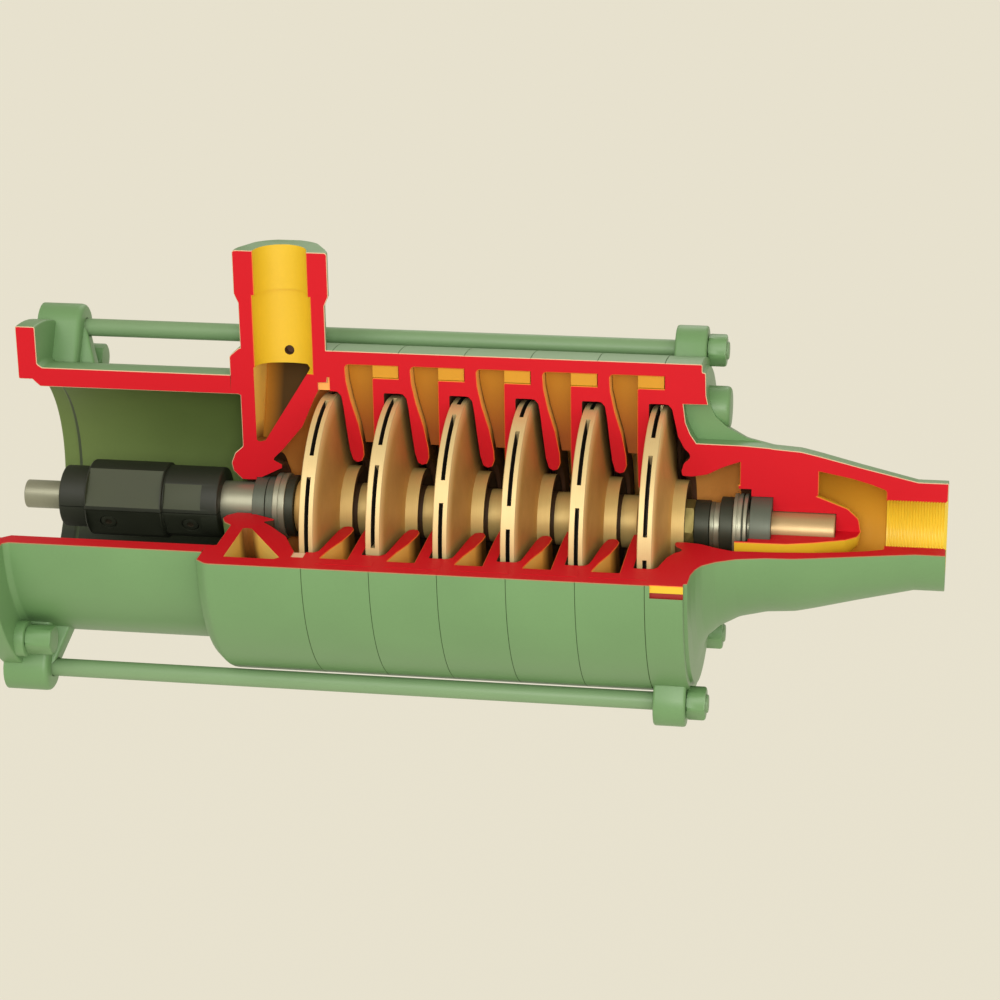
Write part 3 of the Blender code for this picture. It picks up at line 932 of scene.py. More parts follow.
@dataclass
class Assembly:
    """A sub-assembly of the pump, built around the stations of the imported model."""

    stations: Stations

    def shape(self) -> Shape:
        """Start a shape."""
        return Shape(self.stations)

    def lug(self, y: float, z: float, inner: float, start: float, end: float) -> Shape:
        """Make a lug with a round end for one tie rod.

        Args:
            y: The rod's Y.
            z: The rod's height above the axis.
            inner: The radius where the lug starts, inside the casing.
            start: The station where it starts.
            end: The station where it ends.

        Returns:
            The lug.
        """
        middle = Vector((y, z)).length
        arc = [(LUG_R * cos(pi * i / LUG_STEPS), middle + LUG_R * sin(pi * i / LUG_STEPS))
               for i in range(LUG_STEPS + 1)]
        outline = [(LUG_R, inner), *arc, (-LUG_R, inner)]
        return self.shape().prism(Finish.GREEN, Plane.ACROSS, outline, start, end, rod_turn(y, z))

    def rod_hole(self, start: float, y: float, z: float) -> Shape:
        """Make the cutter of a tie rod's hole."""
        return self.shape().bar(Finish.GREEN, (start, y, z), ROD_HOLE_DEPTH, ROD_HOLE_R)

    def hexagon(self, finish: Finish, start: tuple[float, float, float], length: float,
                corner_r: float, rounding: float, sides: int = 48) -> Shape:
        """Make a hexagonal block whose corners are turned off at both ends.

        Args:
            finish: The finish of its faces.
            start: The middle of its first end: station, Y and height above the axis.
            length: Its length.
            corner_r: The radius of its corners.
            rounding: How far the corners are turned off.
            sides: The steps of the turned corners.

        Returns:
            The block.
        """
        block = self.shape().bar(finish, start, length, corner_r, 6)
        barrel = self.shape().bar(finish, start, length, corner_r + 0.05, sides)
        barrel.rounded(rounding, 3)
        return block.combined(Operation.KEEP, barrel)


@dataclass
class Lantern(Assembly):
    """The tube between the motor and the pump, with its flange, lugs, webs and bolt seats."""

    flange_r: float = 149.0
    flange_t: float = 17.0
    flange_foot_r: float = 116.5
    lug_foot_r: float = 105.0
    lug_x: tuple[float, float] = (0.5, 38.5)
    lug_rounding: float = 4.5
    web_foot_r: float = 104.0
    web_end: float = 51.0
    web_tip_r: float = 150.0
    web_t: float = 16.0
    web_rounding: float = 2.5
    seat_r: float = 15.0
    seat_x: tuple[float, float] = (10.0, 25.0)
    bolt_hole_r: float = 6.7
    bolt_hole_x: tuple[float, float] = (-5.0, 40.0)

    def tube(self) -> Shape:
        """Make the turned tube with its flange.

        Returns:
            The tube.
        """
        return self.shape().turn((
            Run(Finish.LANTERN_INSIDE, ((TUBE_END, TUBE_BORE_R), (18.5, TUBE_BORE_R))),
            # The step is painted dark as a painted shadow line
            Run(Finish.SEAM, ((18.5, TUBE_BORE_R), (15.0, TUBE_BORE_R + 3.0))),
            Run(Finish.LANTERN_INSIDE, ((15.0, TUBE_BORE_R + 3.0), (12.0, SPIGOT_R, 1.0),
                                        (1.0, SPIGOT_R), (0.0, SPIGOT_R + 1.0))),
            Run(Finish.GREEN, ((0.0, SPIGOT_R + 1.0), (0.0, self.flange_r, 1.5),
                               (self.flange_t, self.flange_r, 2.0),
                               (self.flange_t, self.flange_foot_r, 2.5), (21.0, TUBE_R, 4.0),
                               (TUBE_END, TUBE_R))),
            Run(Finish.JOINT, ((TUBE_END, TUBE_R), (TUBE_END, TUBE_BORE_R))),
        ))

    def webbed_lug(self, y: float, z: float) -> Shape:
        """Make one rod lug with the web that runs from it to the tube.

        Args:
            y: The rod's Y.
            z: The rod's height above the axis.

        Returns:
            The lug and its web.
        """
        start, end = self.lug_x
        block = self.lug(y, z, self.lug_foot_r, start, end)
        block.rounded(self.lug_rounding, 4, beyond(0, end - 1))
        inner = end - 4.0
        outline = [(inner, self.web_foot_r), (self.web_end + 1.0, self.web_foot_r),
                   (self.web_end, TUBE_R + 0.5), (end, self.web_tip_r), (inner, self.web_tip_r)]
        half = self.web_t / 2
        web = self.shape().prism(Finish.GREEN, Plane.ALONG, outline, -half, half, rod_turn(y, z))
        web.rounded(self.web_rounding, 3,
                    lambda edge: abs(edge.verts[0].co.x - edge.verts[1].co.x) > 5 * MM)
        return block.combined(Operation.JOIN, web)

    def build(self) -> None:
        """Make the lantern."""
        shape = self.tube()
        low, high = self.seat_x
        first, last = self.bolt_hole_x
        joined, drilled = [], []
        for place, (y, z) in self.stations.rods.items():
            bolt = self.stations.bolt(place)
            seat = self.shape().bar(Finish.GREEN, (low, *bolt), high - low, self.seat_r, 48)
            joined += [self.webbed_lug(y, z), seat.rounded(1.2, 2)]
            hole = self.shape().bar(Finish.GREEN, (first, *bolt), last - first, self.bolt_hole_r)
            drilled += [self.rod_hole(self.stations.rod_start - GAP, y, z), hole]
        shape.combined(Operation.JOIN, *joined)
        shape.combined(Operation.CUT, *drilled)
        shape.without_quarter().edged()
        shape.publish("motor_lantern")


@dataclass
class DischargeCasing(Assembly):
    """The casing with the seal hub, the ring volute and the discharge nozzle."""

    hub_r: float = 22.0
    nozzle_x: float = 230.0
    nozzle_r: float = 36.3
    nozzle_bore_r: float = 24.6
    head_bottom: float = 180.0
    head_flats: float = 73.0
    head_corner_r: float = 39.8
    thread_r: float = 22.5
    nozzle_top: float = 220.98
    head_slope: float = 8.0
    pipe_foot: float = 110.0
    bore_foot: float = 117.0
    port_foot: float = 170.0
    head_rounding: float = 2.2
    drain: tuple[float, float, float] = (229.5, 129.5, 4.2)
    drain_depth: float = 32.0
    fillers: tuple[Filler, ...] = (
        # The groove's floor is painted pale as a painted highlight
        Filler(Finish.EDGE_PALE, ((258.2, 103.2), (258.2, 115.3), (268.8, 115.3), (268.8, 103.2)),
               350.0, 9.6),
        Filler(Finish.OCHRE, ((258.2, 103.2), (258.2, 115.3), (268.8, 115.3), (268.8, 103.2)),
               91.0, 6.0),
        Filler(Finish.VOLUTE, ((204.1, 56.4), (204.1, 121.3), (246.6, 121.3), (250.0, 117.0),
                               (212.4, 57.0)), 112.0, 8.0),
    )

    def body(self) -> Shape:
        """Make the turned body.

        Returns:
            The body.
        """
        end = self.stations.first_joint
        return self.shape().turn((
            Run(Finish.JOINT, ((TUBE_END, TUBE_BORE_R), (TUBE_END, TUBE_R))),
            Run(Finish.GREEN, ((TUBE_END, TUBE_R), (TUBE_END, 130.0, 3.0),
                               (193.0, CASING_R, 8.0), (end - BREAK_X, CASING_R))),
            Run(Finish.JOINT, ((end - BREAK_X, CASING_R), (end, CASING_R - BREAK))),
            Run(Finish.CUT, ((end, CASING_R - BREAK), (end, SPIGOT_R), (268.5, SPIGOT_R))),
            Run(Finish.EDGE_PALE, ((268.5, SPIGOT_R), (268.5, 115.0), (258.5, 115.0),
                                   (258.5, SPIGOT_R))),
            Run(Finish.OCHRE, ((258.5, SPIGOT_R), (255.0, 96.0), (244.0, 71.0, 8.0), (226.5, 50.0, 8.0),
                               (221.0, 44.5))),
            Run(Finish.RECESS, ((221.0, 44.5), (217.0, 40.5, 2.0), (225.0, 36.5))),
            Run(Finish.CHAMBER, ((225.0, 36.5), (225.0, 33.5, 1.0), (207.0, 24.3, 1.0), (203.0, 24.3),
                                 (203.0, self.hub_r), (190.0, self.hub_r))),
            Run(Finish.LANTERN_INSIDE, ((190.0, self.hub_r), (183.0, 29.0, 2.0), (181.5, 36.0, 3.0),
                                        (185.0, 45.0, 3.0), (192.0, 51.0, 3.0), (192.0, 96.0),
                                        (190.0, TUBE_BORE_R), (TUBE_END, TUBE_BORE_R))),
        ))

    def pillar(self, finish: Finish, low: float, length: float, radius: float,
               end_radius: float | None = None) -> Shape:
        """Make an upright round bar in the middle of the nozzle.

        Args:
            finish: The finish of its faces.
            low: The height of its foot above the axis.
            length: Its length.
            radius: Its radius.
            end_radius: The radius at its top, where it tapers.

        Returns:
            The bar.
        """
        return self.shape().bar(finish, (self.nozzle_x, 0, low), length, radius, STEPS, upright=True,
                                turn=HALF_STEP, end_radius=end_radius)

    def nozzle(self) -> Shape:
        """Make the pipe of the nozzle with its hexagonal head.

        Returns:
            The nozzle.
        """
        pipe = self.pillar(Finish.GREEN, self.pipe_foot, self.head_bottom + 1.0 - self.pipe_foot,
                           self.nozzle_r)
        low = self.head_bottom - self.head_slope / 2
        height = self.nozzle_top - low
        steepness = (self.head_corner_r - self.nozzle_r) / self.head_slope
        head = self.shape().bar(Finish.GREEN, (self.nozzle_x, 0, low), height,
                                self.head_flats / 2 / cos(pi / 6), 6, upright=True, turn=30.0)
        slope = self.pillar(Finish.GREEN, low - 1.0, height + 2.0, self.nozzle_r - steepness,
                            self.nozzle_r + (height + 1.0) * steepness)
        barrel = self.pillar(Finish.GREEN, low - 1.0, height + 1.0, self.head_corner_r)
        barrel.rounded(self.head_rounding, 3, beyond(2, self.stations.height + self.nozzle_top - 10.0))
        head.combined(Operation.KEEP, barrel, slope)
        return pipe.combined(Operation.JOIN, head)

    def hollows(self) -> list[Shape]:
        """Make the cutters of the volute, the bore, the threaded port and the small drain hole.

        Returns:
            The cutters.
        """
        volute = self.shape().turn((
            Run(Finish.VOLUTE, ((249.5, 117.0, 2.0), (246.0, 121.0, 2.0), (204.3, 121.0))),
            Run(Finish.LEFT_WALL, ((204.3, 121.0), (204.3, 57.5), (207.0, 56.0, 2.0), (212.0, 57.5),
                                   (249.5, 117.0))),
        ))
        bore = self.pillar(Finish.YELLOW, self.bore_foot, self.head_bottom + 3.0 - self.bore_foot,
                           self.nozzle_bore_r)
        port = self.pillar(Finish.YELLOW, self.port_foot, self.nozzle_top + 5.0 - self.port_foot,
                           self.thread_r)
        x, level, radius = self.drain
        outline = [(x + radius * cos(pi * i / 8), level + radius * sin(pi * i / 8)) for i in range(16)]
        hole = self.shape().prism(Finish.CHAMBER, Plane.ALONG, outline, 0.0, self.drain_depth)
        return [volute, bore, port, hole]

    def build(self) -> None:
        """Make the discharge casing, with the fillers that close the volute behind the cut."""
        shape = self.body()
        shape.combined(Operation.JOIN, self.nozzle())
        shape.combined(Operation.CUT, *self.hollows())
        shape.without_quarter().edged()
        for filler in self.fillers:
            shape.fill(filler)
        shape.publish("discharge_casing")


@dataclass
class RingCasings(Assembly):
    """The ring casings and the diffusers inside them, one pair a stage."""

    bore_r: float = 126.5
    diffuser_r: float = 115.5
    break_x: float = 0.3
    plate: tuple[float, float] = (32.6, 42.0)
    plate_bore_r: float = 30.0
    fillers: tuple[Filler, ...] = (
        Filler(Finish.BAR, ((32.8, 116.0), (32.8, 126.0), (54.2, 126.0), (54.2, 116.0)), 90.8, 6.0),
        Filler(Finish.VANE, ((10.2, 126.2), (32.8, 126.2), (32.2, 58.0), (24.5, 58.0), (21.0, 76.0),
                             (15.0, 96.0), (11.3, 112.0)), 95.5, 6.0),
        Filler(Finish.CUT, ((9.4, 115.2), (9.4, 126.8), (55.3, 126.8), (55.3, 115.2)), 352.0, 8.1),
    )

    def joint(self, index: int) -> float:
        """Give the station of a stage's joint, from the stage's place in the row."""
        return self.stations.first_joint + index * self.stations.pitch

    def ring(self, index: int, *runs: Run) -> Shape:
        """Turn an outline through the part of a turn that the cut leaves.

        Args:
            index: The stage, from 0.
            runs: The stretches of the outline, measured from the stage's joint.

        Returns:
            The ring, with its cut faces.
        """
        return self.shape().turn(runs, self.joint(index), TOP, LEFT_BY_CUT, STEPS * 3 // 4).capped()

    def casing(self, index: int) -> None:
        """Make one ring casing.

        Args:
            index: Its place in the row, from 0.
        """
        end, edge = self.stations.pitch, self.break_x
        shape = self.ring(
            index,
            Run(Finish.JOINT, ((0.0, CASING_R - BREAK), (edge, CASING_R))),
            Run(Finish.GREEN, ((edge, CASING_R), (end - edge, CASING_R))),
            Run(Finish.JOINT, ((end - edge, CASING_R), (end, CASING_R - BREAK))),
            Run(Finish.CUT, ((end, CASING_R - BREAK), (end, self.bore_r))),
            Run(Finish.CHANNEL, ((end, self.bore_r), (9.6, self.bore_r, 4.0), (10.5, 112.0),
                                 (14.0, 95.0, 10.0), (20.0, 75.0, 10.0), (23.5, 57.0, 6.0),
                                 (24.0, 48.0, 3.0), (22.0, 43.0))),
            Run(Finish.CHAMBER, ((22.0, 43.0), (18.0, 41.7, 1.0), (14.5, 43.5, 2.0), (12.0, 52.0, 8.0),
                                 (9.5, 72.0), (7.5, 90.0), (6.0, 99.0, 3.0), (3.0, 102.5),
                                 (0.0, SPIGOT_R))),
            Run(Finish.CUT, ((0.0, SPIGOT_R), (0.0, CASING_R - BREAK))),
        ).edged()
        for filler in self.fillers:
            shape.fill(filler, self.joint(index))
        shape.publish(f"stage_casing_{index + 1}")

    def diffuser(self, index: int) -> None:
        """Make one diffuser.

        Args:
            index: Its place in the row, from 0.
        """
        end = self.stations.pitch
        start, right = self.plate
        shape = self.ring(
            index,
            Run(Finish.YELLOW, ((start + 0.9, self.plate_bore_r), (start, 57.0),
                                (start, self.diffuser_r, 1.5), (end, self.diffuser_r))),
            Run(Finish.CUT, ((end, self.diffuser_r), (end, SPIGOT_R))),
            Run(Finish.CHAMBER, ((end, SPIGOT_R), (right, SPIGOT_R, 1.5), (right, self.plate_bore_r),
                                 (start + 0.9, self.plate_bore_r))),
        ).edged(0.45)
        shape.publish(f"diffuser_{index + 1}")

    def build(self) -> None:
        """Make the whole row."""
        for index in range(self.stations.stages):
            self.casing(index)
            self.diffuser(index)


@dataclass
class SuctionCasing(Assembly):
    """The suction end: rim with lugs, bell, threaded port and the bearing hub on its ribs."""

    start: float = 547.0
    lug_foot_r: float = 120.0
    lug_x: tuple[float, float] = (548.6, 575.0)
    rod_hole_start: float = 540.0
    rim_end: float = 577.2
    end_r: float = 45.0
    mouth_r: float = 30.8
    mouth_depth: float = 2.5
    bore_r: float = 28.3
    thread_start: float = 728.0
    thread_pitch: float = 2.3
    thread_depth: float = 0.9
    ribs: int = 3
    rib_t: float = 10.0
    rib: tuple[tuple[float, float], ...] = (
        (609.0, 34.5), (630.0, 34.5), (645.0, 30.0), (668.0, 26.0), (673.0, 30.0), (673.0, 53.0),
        (640.0, 58.0), (609.0, 58.5),
    )
    pocket: tuple[tuple[float, float], ...] = (
        (562.0, 103.5), (655.0, 105.0), (655.0, 67.8), (610.0, 70.2), (573.0, 70.5), (568.0, 78.0),
        (564.0, 88.0),
    )
    pocket_y: tuple[float, float] = (-30.0, 13.0)
    boss_place: tuple[float, float, float] = (560.0, 33.0, 91.0)
    boss_length: float = 38.5
    boss_r: float = 18.0
    notch_x: tuple[float, float] = (551.0, 579.0)
    notch_y: float = -142.0
    notch: tuple[tuple[Finish, float, float, float], ...] = (
        (Finish.YELLOW, -136.5, -6.5, 1.0),
        (Finish.DEEP_CUT, -135.5, -10.8, -6.4),
    )

    def thread(self) -> Run:
        """Outline the port's thread as a row of ridges, from the mouth inwards.

        Returns:
            The stretch of the outline.
        """
        mouth = self.stations.length - self.mouth_depth
        count = int((mouth - self.thread_start) / self.thread_pitch)
        points = [(mouth, self.bore_r)]
        for i in range(count):
            x = mouth - i * self.thread_pitch
            root = self.bore_r + self.thread_depth
            points += [(x - 0.3, self.bore_r), (x - 1.0, root), (x - 1.3, root), (x - 2.0, self.bore_r)]
        return Run(Finish.THREAD, (*points, (self.thread_start, self.bore_r)))

    def shell(self) -> Shape:
        """Make the turned shell.

        Returns:
            The shell.
        """
        end = self.stations.length
        return self.shape().turn((
            Run(Finish.JOINT, ((self.start, CASING_R - BREAK), (self.start + BREAK_X, CASING_R))),
            Run(Finish.GREEN, ((self.start + BREAK_X, CASING_R), (self.rim_end, CASING_R, 1.5),
                               (self.rim_end, 131.5, 0.6), (580.0, 130.5, 1.0), (580.5, 112.0, 3.0),
                               (583.0, 100.0, 8.0), (587.0, 91.0, 8.0), (597.0, 82.0, 10.0),
                               (613.0, 73.5, 14.0), (635.0, 68.5, 20.0), (658.0, 67.0, 30.0),
                               (674.0, 63.5, 30.0), (707.0, 55.5, 40.0), (740.0, 48.0, 20.0),
                               (753.0, self.end_r, 10.0), (end, self.end_r, 0.8),
                               (end, self.mouth_r))),
            Run(Finish.THREAD, ((end, self.mouth_r), (end - self.mouth_depth, self.bore_r))),
            self.thread(),
            Run(Finish.AMBER, ((self.thread_start, self.bore_r), (self.thread_start, 36.5, 3.0),
                               (716.0, 41.0, 10.0), (700.0, 45.5, 20.0), (674.0, 50.5, 30.0),
                               (640.0, 54.0, 30.0), (608.0, 56.0))),
            Run(Finish.OCHRE, ((608.0, 56.0), (595.0, 51.0, 12.0), (582.0, 44.0, 10.0),
                               (570.0, 41.8))),
            Run(Finish.CHAMBER, ((570.0, 41.8), (562.0, 42.0, 1.5), (561.0, 46.0, 2.0),
                                 (563.0, 53.0, 6.0), (570.0, 59.0, 5.0), (563.0, 66.0, 6.0),
                                 (558.0, 76.0), (554.5, 92.0), (553.0, 99.0, 3.0), (550.0, 102.5),
                                 (self.start, SPIGOT_R))),
            Run(Finish.CUT, ((self.start, SPIGOT_R), (self.start, CASING_R - BREAK))),
        ))

    def hub(self) -> list[Shape]:
        """Make the bearing hub and its ribs.

        Returns:
            The hub, then its ribs.
        """
        nose = self.shape().turn((
            Run(Finish.YELLOW, ((608.0, 36.0), (650.0, 35.0, 20.0), (672.0, 29.0, 20.0),
                                (697.0, 19.5, 8.0), (706.0, 11.0, 6.0), (708.0, 0.0))),
            Run(Finish.CHAMBER, ((688.0, 0.0), (688.0, 14.9), (636.5, 14.9), (636.5, 26.8),
                                 (618.5, 26.8), (618.5, 33.0), (608.0, 33.0), (608.0, 36.0))),
        ))
        half = self.rib_t / 2
        ribs = [self.shape().prism(Finish.YELLOW, Plane.ALONG, self.rib, -half, half,
                                   360.0 * i / self.ribs)
                for i in range(self.ribs)]
        return [nose, *ribs]

    def build(self) -> None:
        """Make the suction casing."""
        shape = self.shell()
        pocket = self.shape().prism(Finish.GREEN, Plane.ALONG, self.pocket, *self.pocket_y)
        shape.combined(Operation.CUT, pocket)
        joined = self.hub()
        boss = self.shape().bar(Finish.GREEN, self.boss_place, self.boss_length, self.boss_r, 64)
        joined.append(boss.rounded(4.0, 4, beyond(0, self.boss_place[0] + self.boss_length - 0.5)))
        drilled = []
        for y, z in self.stations.rods.values():
            joined.append(self.lug(y, z, self.lug_foot_r, *self.lug_x).rounded(2.0, 3))
            drilled.append(self.rod_hole(self.rod_hole_start, y, z))
        shape.combined(Operation.JOIN, *joined)
        first, last = self.notch_x
        for finish, depth, low, high in self.notch:
            drilled.append(self.shape().box(finish, (first, self.notch_y, low), (last, depth, high)))
        shape.combined(Operation.CUT, *drilled)
        shape.without_quarter().edged(0.5)
        shape.publish("suction_casing")


@dataclass
class Fasteners(Assembly):
    """The tie rods with their nuts, and the motor bolts."""

    rod_r: float = 7.5
    nut_flats: float = 24.0
    nut_t: float = 15.3
    seat: float = 575.0
    bolt_r: float = 6.0
    shank_start: float = 1.0
    head_corner_r: float = 12.5
    head_x: tuple[float, float] = (25.3, 47.3)
    corner_share: float = 0.16

    def head(self, start: tuple[float, float, float], length: float, corner_r: float) -> Shape:
        """Make a green hexagon, rounded by a share of its size."""
        return self.hexagon(Finish.GREEN, start, length, corner_r, corner_r * self.corner_share)

    def rod(self, place: str, y: float, z: float) -> None:
        """Make one tie rod with its nut.

        Args:
            place: Where it is, as its node's name says.
            y: Its Y.
            z: Its height above the axis.
        """
        start, end = self.stations.rod_start, self.stations.rod_end
        rod = self.shape().bar(Finish.ROD, (start, y, z), end - start, self.rod_r, 40)
        rod.rounded(1.0, 2)
        rod.publish(f"tie_rod_{place}")
        nut = self.head((self.seat + GAP, y, z), self.nut_t, self.nut_flats / 2 / cos(pi / 6))
        hole = self.shape().bar(Finish.GREEN, (self.seat - 5, y, z), NUT_HOLE_DEPTH, self.rod_r + 0.2,
                                40)
        nut.combined(Operation.CUT, hole)
        nut.publish(f"rod_nut_{place}")

    def bolt(self, place: str) -> None:
        """Make one motor bolt.

        Args:
            place: Where it is, as its node's name says.
        """
        low, high = self.head_x
        middle = self.stations.bolt(place)
        head = self.head((low, *middle), high - low, self.head_corner_r)
        shank = self.shape().bar(Finish.GREEN, (self.shank_start, *middle), low + 3.0, self.bolt_r, 32)
        head.combined(Operation.JOIN, shank)
        head.publish(f"motor_bolt_{place}")

    def build(self) -> None:
        """Make all the fasteners."""
        for place, (y, z) in self.stations.rods.items():
            self.rod(place, y, z)
            self.bolt(place)


@dataclass
class Impellers(Assembly):
    """The six closed impellers, with the ends of their blades in the outlet slots."""

    radius: float = 97.0
    slot: tuple[float, float] = (4.6, 8.0)
    slot_depth: float = 13.0
    blades: int = 7
    blade_end: float = 11.0
    neck_r: float = 36.5
    hub_r: float = 22.0
    first_hub: float = 22.0
    hub_end: float = 46.0
    last_hub_end: float = 26.0
    shade_end: float = 32.5
    last_shade_end: float = 24.0
    blade_angles: tuple[float, ...] = (40.7, 48.2, 31.1, 20.1, 31.6, 59.7)

    def wheel(self, index: int) -> None:
        """Make one impeller.

        Args:
            index: Its place on the shaft, from 0.
        """
        first, last = index == 0, index == self.stations.stages
        hub_start = -self.first_hub if first else -WHEEL_HUB
        hub_end = self.last_hub_end if last else self.hub_end
        shade_end = self.last_shade_end if last else self.shade_end
        left, right = self.slot
        floor = self.radius - self.slot_depth
        x = self.stations.first_wheel + index * self.stations.pitch
        shape = self.shape().turn((
            Run(Finish.BRONZE, ((hub_start, RING_BORE_R), (hub_start, self.hub_r, 0.8),
                                (-2.0, 25.0, 4.0), (0.0, 30.0, 1.5), (0.0, self.radius - 0.6))),
            Run(Finish.RIM, ((0.0, self.radius - 0.6), (0.6, self.radius), (left, self.radius))),
            # The outlet slot is painted near black as painted shade
            Run(Finish.SLOT, ((left, self.radius), (5.0, floor), (7.6, floor), (right, self.radius))),
            Run(Finish.RIM, ((right, self.radius), (11.4, self.radius), (12.0, self.radius - 0.8))),
            Run(Finish.BRONZE, ((12.0, self.radius - 0.8), (14.3, 72.0, 30.0), (16.8, 54.0, 20.0),
                                (18.6, 42.0, 10.0), (20.5, self.neck_r))),
            Run(Finish.HUB, ((20.5, self.neck_r), (31.0, self.neck_r))),
            # The recess behind the neck is painted dark as painted shade
            Run(Finish.RECESS, ((31.0, self.neck_r), (31.0, 31.5, 0.8), (23.0, self.hub_r, 3.0),
                                (shade_end, self.hub_r))),
            Run(Finish.HUB, ((shade_end, self.hub_r), (hub_end, self.hub_r, 0.8),
                             (hub_end, RING_BORE_R))),
            Run(Finish.BRONZE, ((hub_end, RING_BORE_R), (hub_start, RING_BORE_R))),
        ), x=x)
        low, high = floor + 0.2, self.radius - 0.05
        corners = ((left - 0.2, low), (left - 0.2, high), (right + 0.2, high), (right + 0.2, low))
        for blade in range(self.blades):
            middle = self.blade_angles[index] + blade * 360.0 / self.blades
            shape.fill(Filler(Finish.RIM, corners, middle - self.blade_end / 2, self.blade_end), x)
        shape.publish(f"impeller_{index + 1}", Body.ROTOR, "bronze")

    def build(self) -> None:
        """Make all the impellers."""
        for index in range(self.stations.stages + 1):
            self.wheel(index)


@dataclass(frozen=True)
class Band:
    """A stretch of a ring on the shaft: its finish, its end, its radius and its fine grooves."""

    finish: Finish
    end: float
    radius: float
    grooves: int = 0


@dataclass
class ShaftTrain(Assembly):
    """The shaft with the rings of its seal and of its thrust bearing."""

    shaft_r: float = 15.0
    journal_r: float = 14.3
    seat_bore_r: float = 17.5
    groove: tuple[float, float, float] = (0.7, 0.4, 0.7)
    nut_x: float = 562.3
    nut_t: float = 10.7
    nut_flats: float = 36.0
    seats: tuple[tuple[str, float, float, float], ...] = (
        ("seal_seat", 203.3, 213.8, 24.0),
        ("thrust_seat", 618.9, 636.2, 26.4),
    )
    rings: dict[str, tuple[str, float, tuple[Band, ...]]] = field(default_factory=lambda: {
        "seal_ring": ("dark_steel", 214.3, (Band(Finish.SLATE, 221.0, 24.0),)),
        "seal_spring_housing": ("steel", 221.3, (Band(Finish.STEEL, 231.5, 27.5, 1),
                                                 Band(Finish.DARK, 238.7, 26.0))),
        "shaft_sleeve": ("dark_steel", 573.3, (Band(Finish.DARK, 585.5, 20.5),)),
        "spacer_ring": ("steel", 585.8, (Band(Finish.SATIN, 589.5, 19.5),
                                         Band(Finish.STEEL, 594.0, 19.0))),
        "thrust_sleeve": ("dark_steel", 594.3, (Band(Finish.DARK, 605.0, 24.0),)),
        "thrust_ring": ("steel", 605.3, (Band(Finish.STEEL, 612.4, 27.3, 1),
                                         Band(Finish.DARK, 613.6, 26.2),
                                         Band(Finish.STEEL, 616.5, 27.3))),
    })

    def shaft(self) -> None:
        """Make the pump's shaft."""
        shape = self.shape().turn((
            Run(Finish.STEEL, ((104.0, 0.0), (104.0, SEAL_SHAFT_R, 1.0),
                               (203.0, SEAL_SHAFT_R, 0.6), (203.0, self.shaft_r),
                               (636.0, self.shaft_r))),
            Run(Finish.JOURNAL, ((636.0, self.shaft_r), (636.0, self.journal_r),
                                 (687.5, self.journal_r, 1.2), (687.5, 0.0))),
        ), steps=64)
        shape.publish("pump_shaft", Body.ROTOR, "steel")

    def ring(self, name: str) -> None:
        """Make one ring on the shaft, from its bands.

        Args:
            name: The ring's node.
        """
        slot, start, bands = self.rings[name]
        runs: list[Run] = []
        at, x = (start, RING_BORE_R), start
        outside, inside, depth = self.groove
        for band, following in zip(bands, (*bands[1:], None)):
            radius = band.radius
            outer = [(x, radius, 0.7)] if at[1] < radius else []
            for i in range(band.grooves):
                groove = x + (band.end - x) * (i + 1) / (band.grooves + 1)
                outer += [(groove - outside, radius), (groove - inside, radius - depth),
                          (groove + inside, radius - depth), (groove + outside, radius)]
            inner = following.radius if following else RING_BORE_R
            if inner < radius:
                outer.append((band.end, radius, 0.7))
            after = (band.end, min(inner, radius))
            runs.append(Run(band.finish, (at, *outer, after)))
            at, x = after, band.end
        runs.append(Run(bands[-1].finish, (at, (start, RING_BORE_R))))
        shape = self.shape().turn(runs, steps=72)
        shape.publish(name, Body.ROTOR, slot)

    def seat(self, name: str, start: float, end: float, radius: float) -> None:
        """Make one fixed ring, which stays whole.

        Args:
            name: The ring's node.
            start: Where it starts.
            end: Where it ends.
            radius: Its outer radius.
        """
        bore_r = self.seat_bore_r
        shape = self.shape().turn((
            Run(Finish.SLATE, ((start, bore_r), (start, radius, 0.6), (end, radius, 0.6),
                               (end, bore_r))),
            Run(Finish.SLATE, ((end, bore_r), (start, bore_r))),
        ), steps=72)
        shape.publish(name, Body.HOUSING, "dark_steel")

    def lock_nut(self) -> None:
        """Make the hexagonal nut that holds the impellers on the shaft."""
        start = self.nut_x
        corner_r = self.nut_flats / 2 / cos(pi / 6)
        nut = self.hexagon(Finish.BRASS, (start, 0, 0), self.nut_t, corner_r, 2.2, 64)
        hole = self.shape().bar(Finish.BRASS, (start - 5.0, 0, 0), NUT_HOLE_DEPTH, RING_BORE_R, 48)
        nut.combined(Operation.CUT, hole)
        nut.publish("shaft_lock_nut", Body.ROTOR, "steel")

    def build(self) -> None:
        """Make the shaft and everything clamped on it."""
        self.shaft()
        for name in self.rings:
            self.ring(name)
        for name, start, end, radius in self.seats:
            self.seat(name, start, end, radius)
        self.lock_nut()


